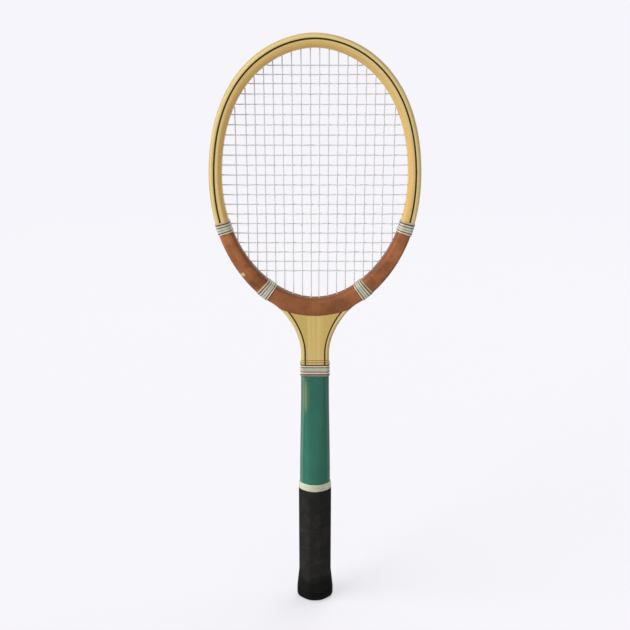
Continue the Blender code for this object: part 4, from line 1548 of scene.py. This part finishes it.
@dataclass
class Bindings:
    """Five tape bindings wound round the frame."""

    wall: float = 0.8 * MM
    thin: float = 0.25 * MM
    edge: float = 0.9 * MM
    cut: float = 0.12 * MM
    sunk: float = 0.05 * MM
    steps: int = 24

    def profile(self) -> tuple[Rows, Rows]:
        """Distance across the tape and its lift off the wood.

        Returns:
            Shares of the width from 0 to 1, and lifts in metres.
        """
        share = np.concatenate([[0, 0], eased(self.steps), [1, 1]])
        reach = np.minimum(share, 1 - share) * BAND_LENGTH
        lift = self.thin + (self.wall - self.thin) * dome(reach / self.edge)
        lift[[0, -1]], lift[[1, -2]] = -self.sunk, self.cut
        return share, lift

    @staticmethod
    def section(wall: float, inner: float, lift: float) -> Rows:
        """Section of the tape's outside round the frame.

        Args:
            wall: Thickness of the frame there, seen from the front.
            inner: Rounding towards the strings.
            lift: How far the tape stands off the wood.

        Returns:
            Rows of inward distance and depth.
        """
        half, outer = HEAD.half_depth, HEAD.outer_round
        far = np.column_stack([wall - inner + (inner + lift) * np.sin(QUARTER),
                               half - inner + (inner + lift) * np.cos(QUARTER)])
        near = np.column_stack([outer - (outer + lift) * np.cos(QUARTER),
                                half - outer + (outer + lift) * np.sin(QUARTER)])
        flat = [(outer + (wall - inner - outer) * t, half + lift) for t in (0.25, 0.5, 0.75)]
        return both_ways(np.concatenate([near, flat, far]))

    def wound(self, name: str, places: Rows, inward: Rows, walls: Rows, inner: float,
              material: Material) -> Piece:
        """One binding over stations that follow its profile.

        Args:
            name: Name of the piece.
            places: Outer edge of the frame at each station.
            inward: Inward direction at each station.
            walls: Thickness of the frame at each station.
            inner: Rounding towards the strings.
            material: Its tape.

        Returns:
            The object.
        """
        share, lifts = self.profile()
        sections = np.array([self.section(w, inner, lift) for w, lift in zip(walls, lifts)])
        ends = [-1, 0]
        under = np.array([self.section(w, inner, -self.sunk) for w in walls[ends]])
        rings = np.concatenate([lifted(places, inward, sections),
                                lifted(places[ends], inward[ends], under)])
        around = walked(np.concatenate([sections[5], sections[5][:1]]))
        across = np.concatenate([share, [1.0, 0.0]]) * BAND_LENGTH
        maps = np.stack(np.meshgrid(across, around, indexing="ij")[::-1], axis=-1)
        return skin(name, rings, material, maps, closed=True)

    def build(self, head: Material, shaft: Material, cutter: Piece) -> None:
        """Make the five bindings.

        Args:
            head: Tape of the four on the head.
            shaft: Tape of the one on the shaft.
            cutter: The drills.
        """
        share, _ = self.profile()
        for label, middle in (("shoulder", SHOULDER_SPOT), ("throat", THROAT_SPOT)):
            spots = middle + (0.5 - share) * BAND_LENGTH
            places, inward = OUTER.at(spots), OUTER.inward(spots)
            walls = np.array([OPENING.met_by(p, n)[0] for p, n in zip(places, inward)])
            for side, flip in (("right", 1.0), ("left", LEFT)):
                name = f"{side}_{label}_binding"
                piece = self.wound(name + "_fine", places * flip, inward * flip, walls,
                                   HEAD.inner_round, head)
                settle(drilled(piece, cutter), Slot.TAPE, name)
        heights = SHAFT_BAND_BOTTOM + share * BAND_LENGTH
        places = np.column_stack([np.full(len(share), HEAD.shaft_width / 2), heights])
        piece = self.wound("shaft_binding_fine", places, np.tile([-1.0, 0.0], (len(share), 1)),
                           np.full(len(share), HEAD.shaft_width), HEAD.outer_round, shaft)
        settle(piece, Slot.TAPE, "shaft_binding")


@dataclass
class Handle:
    """Pallets, collar, leather and butt cap."""

    leather: float = 1.2 * MM
    leather_edge: float = 0.95 * MM
    edge_run: float = 0.8 * MM
    pitch: float = 23.0 * MM
    seam: float = 0.15 * MM
    least_strip: float = 0.06 * MM
    strip_steps: int = 15
    turn_length: float = 126.5 * MM
    soft: float = 2.4 * MM
    flare_soft: float = 3.6 * MM
    softest: float = 4.0 * MM
    collar_wall: float = 1.3 * MM
    collar_edge: float = 0.35 * MM
    collar_laps: float = 0.22 * MM
    cap_round: float = 5.0 * MM
    cap_inside: float = 30.0 * MM
    rim_height: float = 12.6 * MM

    def build_pallets(self, material: Material) -> None:
        """The two shaped boards on the shaft.

        Args:
            material: Their lacquer.
        """
        top, below = HANDLE.top, HANDLE.top - 1.2 * MM
        heights = [top, top - 0.25 * MM, top - 0.6 * MM, *np.linspace(below, HANDLE.foot, 60)]
        for side, name in ((-1.0, "front_pallet"), (1.0, "back_pallet")):
            rings = []
            for z in heights:
                half = self.pallet_edge(z, 0.4 * MM * float(smooth(z, below, top)))
                x, y = np.concatenate([half, half[::-1] * LEFT]).T
                rings.append(np.column_stack([x, y * side, np.full(len(x), z)]))
            settle(skin(name + "_fine", np.array(rings), material), Slot.GREEN, name)

    @staticmethod
    def pallet_edge(z: float, shy: float) -> Rows:
        """Right half of a pallet's section, from its seat on the shaft to its middle.

        Args:
            z: Height of the section.
            shy: How far its faces lie back from the octagon.

        Returns:
            Rows of x and depth.
        """
        corner = HANDLE.corners(z, -shy)[2]
        seat = np.array([HANDLE.slant_width(z, HEAD.half_depth) - shy, HEAD.half_depth])
        reach = float(np.linalg.norm(corner - seat))
        start = corner + (seat - corner) * min(HANDLE.corner / reach, 0.6)
        end = corner - np.array([HANDLE.corner, 0.0])
        return np.array([*(seat + (start - seat) * t for t in (0.0, 0.35, 0.7)),
                         *bend(start, corner, end, 7),
                         *(end * np.array([share, 1.0]) for share in (0.66, 0.33))])

    def rounding(self, z: float) -> float:
        """Length of face taken by the soft corners of leather and cap at a height."""
        return self.soft + self.flare_soft * float(smooth(z, HANDLE.flare_start, self.softest))

    def build_collar(self, material: Material) -> None:
        """The rubber collar, a soft crowned ring that laps over the leather's end.

        Args:
            material: Its rubber.
        """
        low, high = HANDLE.collar_bottom - self.collar_laps, HANDLE.collar_top
        profile = [(low + 0.1 * MM, 0.02 * MM), (high, 0.02 * MM)]
        for t in np.linspace(0, 1, 15):
            crown = math.sqrt(1 - min(abs(2 * t - 1), 1.0) ** 5)
            profile.append((high - 0.05 * MM - (high - low - 0.05 * MM) * t,
                            self.collar_edge + (self.collar_wall - self.collar_edge) * crown))
        rings = [HANDLE.ring(z, grow, HANDLE.corner + 6 * grow, arc=12, flat=1)
                 for z, grow in profile]
        settle(skin("rubber_collar_fine", np.array(rings), material, closed=True), Slot.RUBBER,
               "rubber_collar")

    def build_grip(self, material: Material) -> None:
        """The leather strip wound up the handle.

        Args:
            material: Its leather.
        """
        bottom, top = HANDLE.grip_bottom, HANDLE.collar_bottom - HANDLE.gap
        width = self.pitch - self.seam
        sample = HANDLE.ring(0.1, HANDLE.gap + self.leather, self.rounding(0.1))
        size = len(sample)
        reach = walked(np.concatenate([sample, sample[:1]]))
        cross = eased(self.strip_steps)
        rings, maps = [], []
        turns = int(math.ceil((top - bottom + width) / self.pitch)) + 1
        for i in range(turns * size):
            wound = i // size + reach[i % size] / reach[-1]
            start = bottom - width + self.pitch * wound
            low, high = max(start, bottom), min(start + width, top)
            if high - low < self.least_strip:
                continue
            heights = low + (high - low) * cross
            near = np.minimum(heights - low, high - heights) / self.edge_run
            thick = self.leather_edge + (self.leather - self.leather_edge) * dome(near)
            section = [*zip(heights, thick), (high, 0.0), (low, 0.0)]
            rings.append([HANDLE.ring(z, HANDLE.seat(z) + lift, self.rounding(z))[i % size]
                          for z, lift in section])
            maps.append([(wound * self.turn_length, z - start)
                         for z in [*heights, high, low, low]])
        piece = skin("leather_grip_fine", np.array(rings), material, np.array(maps), sharp=50)
        settle(piece, Slot.LEATHER, "leather_grip")

    def build_cap(self, material: Material) -> None:
        """The butt cap under the leather.

        Args:
            material: Its plastic.
        """
        seat, soft, top = HANDLE.seat(HANDLE.grip_bottom), self.cap_round, self.rim_height
        rim = seat + self.leather
        profile = [(soft - soft * math.cos(t), rim - soft + soft * math.sin(t))
                   for t in np.linspace(0, math.pi / 2, 10)]
        profile += [(top - 0.6 * MM, rim), (top - 0.2 * MM, rim - 0.15 * MM), (top, rim - 0.6 * MM),
                    (top, seat - 0.3 * MM), (self.cap_inside, 0.75 * MM),
                    (self.cap_inside, HANDLE.gap), (3.0 * MM, HANDLE.gap)]
        rings = [HANDLE.ring(z, grow, self.rounding(z)) for z, grow in profile]
        settle(skin("butt_cap_fine", np.array(rings), material), Slot.PLASTIC, "butt_cap")


@dataclass(frozen=True)
class Studio:
    """Pale floor and backdrop, soft light and the camera."""

    floor: Colour = screen(219, 218, 223)
    floor_fleck: Colour = (0.86, 0.86, 0.88)
    floor_radius: float = 6.0
    floor_plain: float = 0.55
    backdrop: Colour = screen(246, 245, 251)
    fill: float = 0.60
    lamp: Colour = (1.0, 0.985, 0.96)
    lamps: tuple[tuple[str, float, float, tuple[float, float, float]], ...] = (
        ("key", 3.3, math.radians(50), (0.86, 0.36, -0.42)),
        ("rear", 1.3, math.radians(60), (-0.45, -0.50, -0.75)))
    pitch: float = math.radians(16.5)
    camera: tuple[float, float, float] = (0.0, -0.94797, 0.65444)
    focal_share: float = 851.6 / 630

    def build_camera(self) -> None:
        """Set up the camera at the photograph's angle."""
        data = bpy.data.cameras.new("camera")
        data.sensor_width = 36.0
        data.lens = data.sensor_width * self.focal_share
        data.clip_start, data.clip_end = 0.01, 200.0
        camera = new_object("camera", data)
        camera.location = self.camera
        camera.rotation_euler = (math.pi / 2 - self.pitch, 0.0, 0.0)
        bpy.context.scene.camera = camera

    @staticmethod
    def seen(g: Nodes) -> Term:
        """Tell rays that see the pale background: straight, in a reflection or through glass.

        Args:
            g: The nodes of the floor or of the world.

        Returns:
            1 for such a ray, otherwise 0.
        """
        rays = g.node("ShaderNodeLightPath").outputs
        camera, glossy, through = (Term(g, rays[f"Is {ray} Ray"])
                                   for ray in ("Camera", "Glossy", "Transmission"))
        return camera.most(glossy).most(through)

    def build_floor(self) -> None:
        """A round pale floor that fades into the backdrop far from the racket."""
        shape = bmesh.new()
        bmesh.ops.create_circle(shape, cap_ends=True, segments=96, radius=self.floor_radius)
        mesh = bpy.data.meshes.new("studio_floor")
        shape.to_mesh(mesh)
        shape.free()
        g = Graph("pale_floor")
        away = (g.x * g.x + g.y * g.y) ** 0.5
        g.finish(g.mix(g.cloud(g.place, 3.0) * 0.02, self.floor, self.floor_fleck), 0.8,
                 constants={"Specular IOR Level": 0.1})
        plain = g.term("ShaderNodeEmission", {"Color": self.backdrop, "Strength": 1.0})
        calm = g.term("ShaderNodeMixShader", {0: self.seen(g) * self.floor_plain,
                                              1: Term(g, g.shader.outputs[0]), 2: plain})
        blend = g.term("ShaderNodeMixShader", {0: away.rise(1.2, 4.0), 1: calm,
                                               2: g.term("ShaderNodeBsdfTransparent")})
        g.feed(g.tree.nodes["Material Output"].inputs[0], blend)
        new_object("studio_floor", mesh, g.material)

    def build_light(self) -> None:
        """Even light from all round, a soft light from the left and a weak one from behind."""
        world = bpy.data.worlds.new("studio")
        world.use_nodes = True
        bpy.context.scene.world = world
        g = Nodes(world.node_tree)
        g.tree.nodes.remove(g.tree.nodes["Background"])
        lit, pale = (g.term("ShaderNodeBackground", {"Color": colour, "Strength": strength})
                     for colour, strength in (((1.0, 1.0, 1.0), self.fill), (self.backdrop, 1.0)))
        blend = g.term("ShaderNodeMixShader", {0: self.seen(g), 1: lit, 2: pale})
        g.feed(g.tree.nodes["World Output"].inputs[0], blend)
        for name, strength, size, way in self.lamps:
            sun = bpy.data.lights.new(name, "SUN")
            sun.energy, sun.angle, sun.color = strength, size, self.lamp
            new_object(name, sun).rotation_euler = Vector(way).to_track_quat("-Z", "Y").to_euler()

    def build(self) -> None:
        """Set up the whole studio."""
        self.build_camera()
        self.build_floor()
        self.build_light()
        bpy.context.scene.view_settings.view_transform = "Standard"


# Stripes of the head's tape from its lower edge; the first, dark brown one is a painted shadow along
# that edge.
HEAD_STRIPES_AND_SHADOW = (
    (0.6, screen(92, 62, 44)), (1.6, screen(202, 182, 156)), (1.3, screen(42, 35, 28)),
    (2.0, screen(182, 184, 160)), (0.9, screen(126, 128, 108)), (2.3, screen(182, 184, 162)),
    (1.2, screen(60, 54, 42)), (1.8, screen(196, 186, 164)), (1.5, screen(28, 19, 13)),
    (1.8, screen(180, 156, 124)))
SHAFT_STRIPES = (
    (0.9, screen(32, 84, 66)), (1.4, screen(120, 124, 106)), (1.4, screen(54, 30, 26)),
    (1.8, screen(214, 184, 174)), (1.3, screen(108, 58, 54)), (0.8, screen(180, 168, 148)),
    (3.5, screen(160, 174, 148)), (1.1, screen(62, 50, 36)), (1.5, screen(206, 188, 156)),
    (1.3, screen(38, 26, 16)))
WOODS = {
    "bow": Wood("pale_ash", screen(208, 190, 135), screen(192, 169, 113), screen(156, 131, 78),
                glue=Glue.INSIDE),
    "hoop": Wood("beech", screen(210, 185, 125), screen(198, 166, 103), screen(161, 126, 73),
                 inner=screen(190, 154, 86), glue=Glue.OUTSIDE),
    "wedge": Wood("maple", screen(195, 173, 110), screen(188, 162, 97), screen(172, 142, 80),
                  inner=screen(180, 152, 88), inner_from=6.5 * MM, bent=False, line_strength=0.2),
    "veneer": Wood("dark_veneer", screen(58, 46, 9), screen(45, 35, 6), screen(30, 22, 4),
                   line_strength=0.3, coat=0.06),
    "core": Wood("core_wood", screen(190, 156, 112), screen(170, 134, 92), screen(140, 106, 68),
                 bent=False, rough=0.6, paint=None),
}


def main() -> None:
    """Build the racket and the studio, piece by piece."""
    logging.basicConfig(level=logging.INFO, format="%(message)s")
    woods = {name: wood.build() for name, wood in WOODS.items()}
    pattern = StringPattern()
    cutter = Drills(pattern).build(BareDrill().build())
    BentFrame(pattern).build(woods, cutter)
    Bindings().build(StripedTape("striped_tape", HEAD_STRIPES_AND_SHADOW).build(),
                     StripedTape("striped_tape_shaft", SHAFT_STRIPES).build(), cutter)
    handle = Handle()
    handle.build_pallets(GreenLacquer().build())
    handle.build_collar(CreamRubber().build())
    handle.build_grip(BlackLeather().build())
    handle.build_cap(BlackPlastic().build())
    Strings(pattern).build(StringFinish().build())
    bpy.data.objects.remove(cutter)
    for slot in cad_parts["handle_core"].material_slots:
        slot.material = woods["core"]
    LOG.info("handle_core: dressed where it stands")
    Studio().build()
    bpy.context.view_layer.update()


if __name__ == "__main__":
    main()
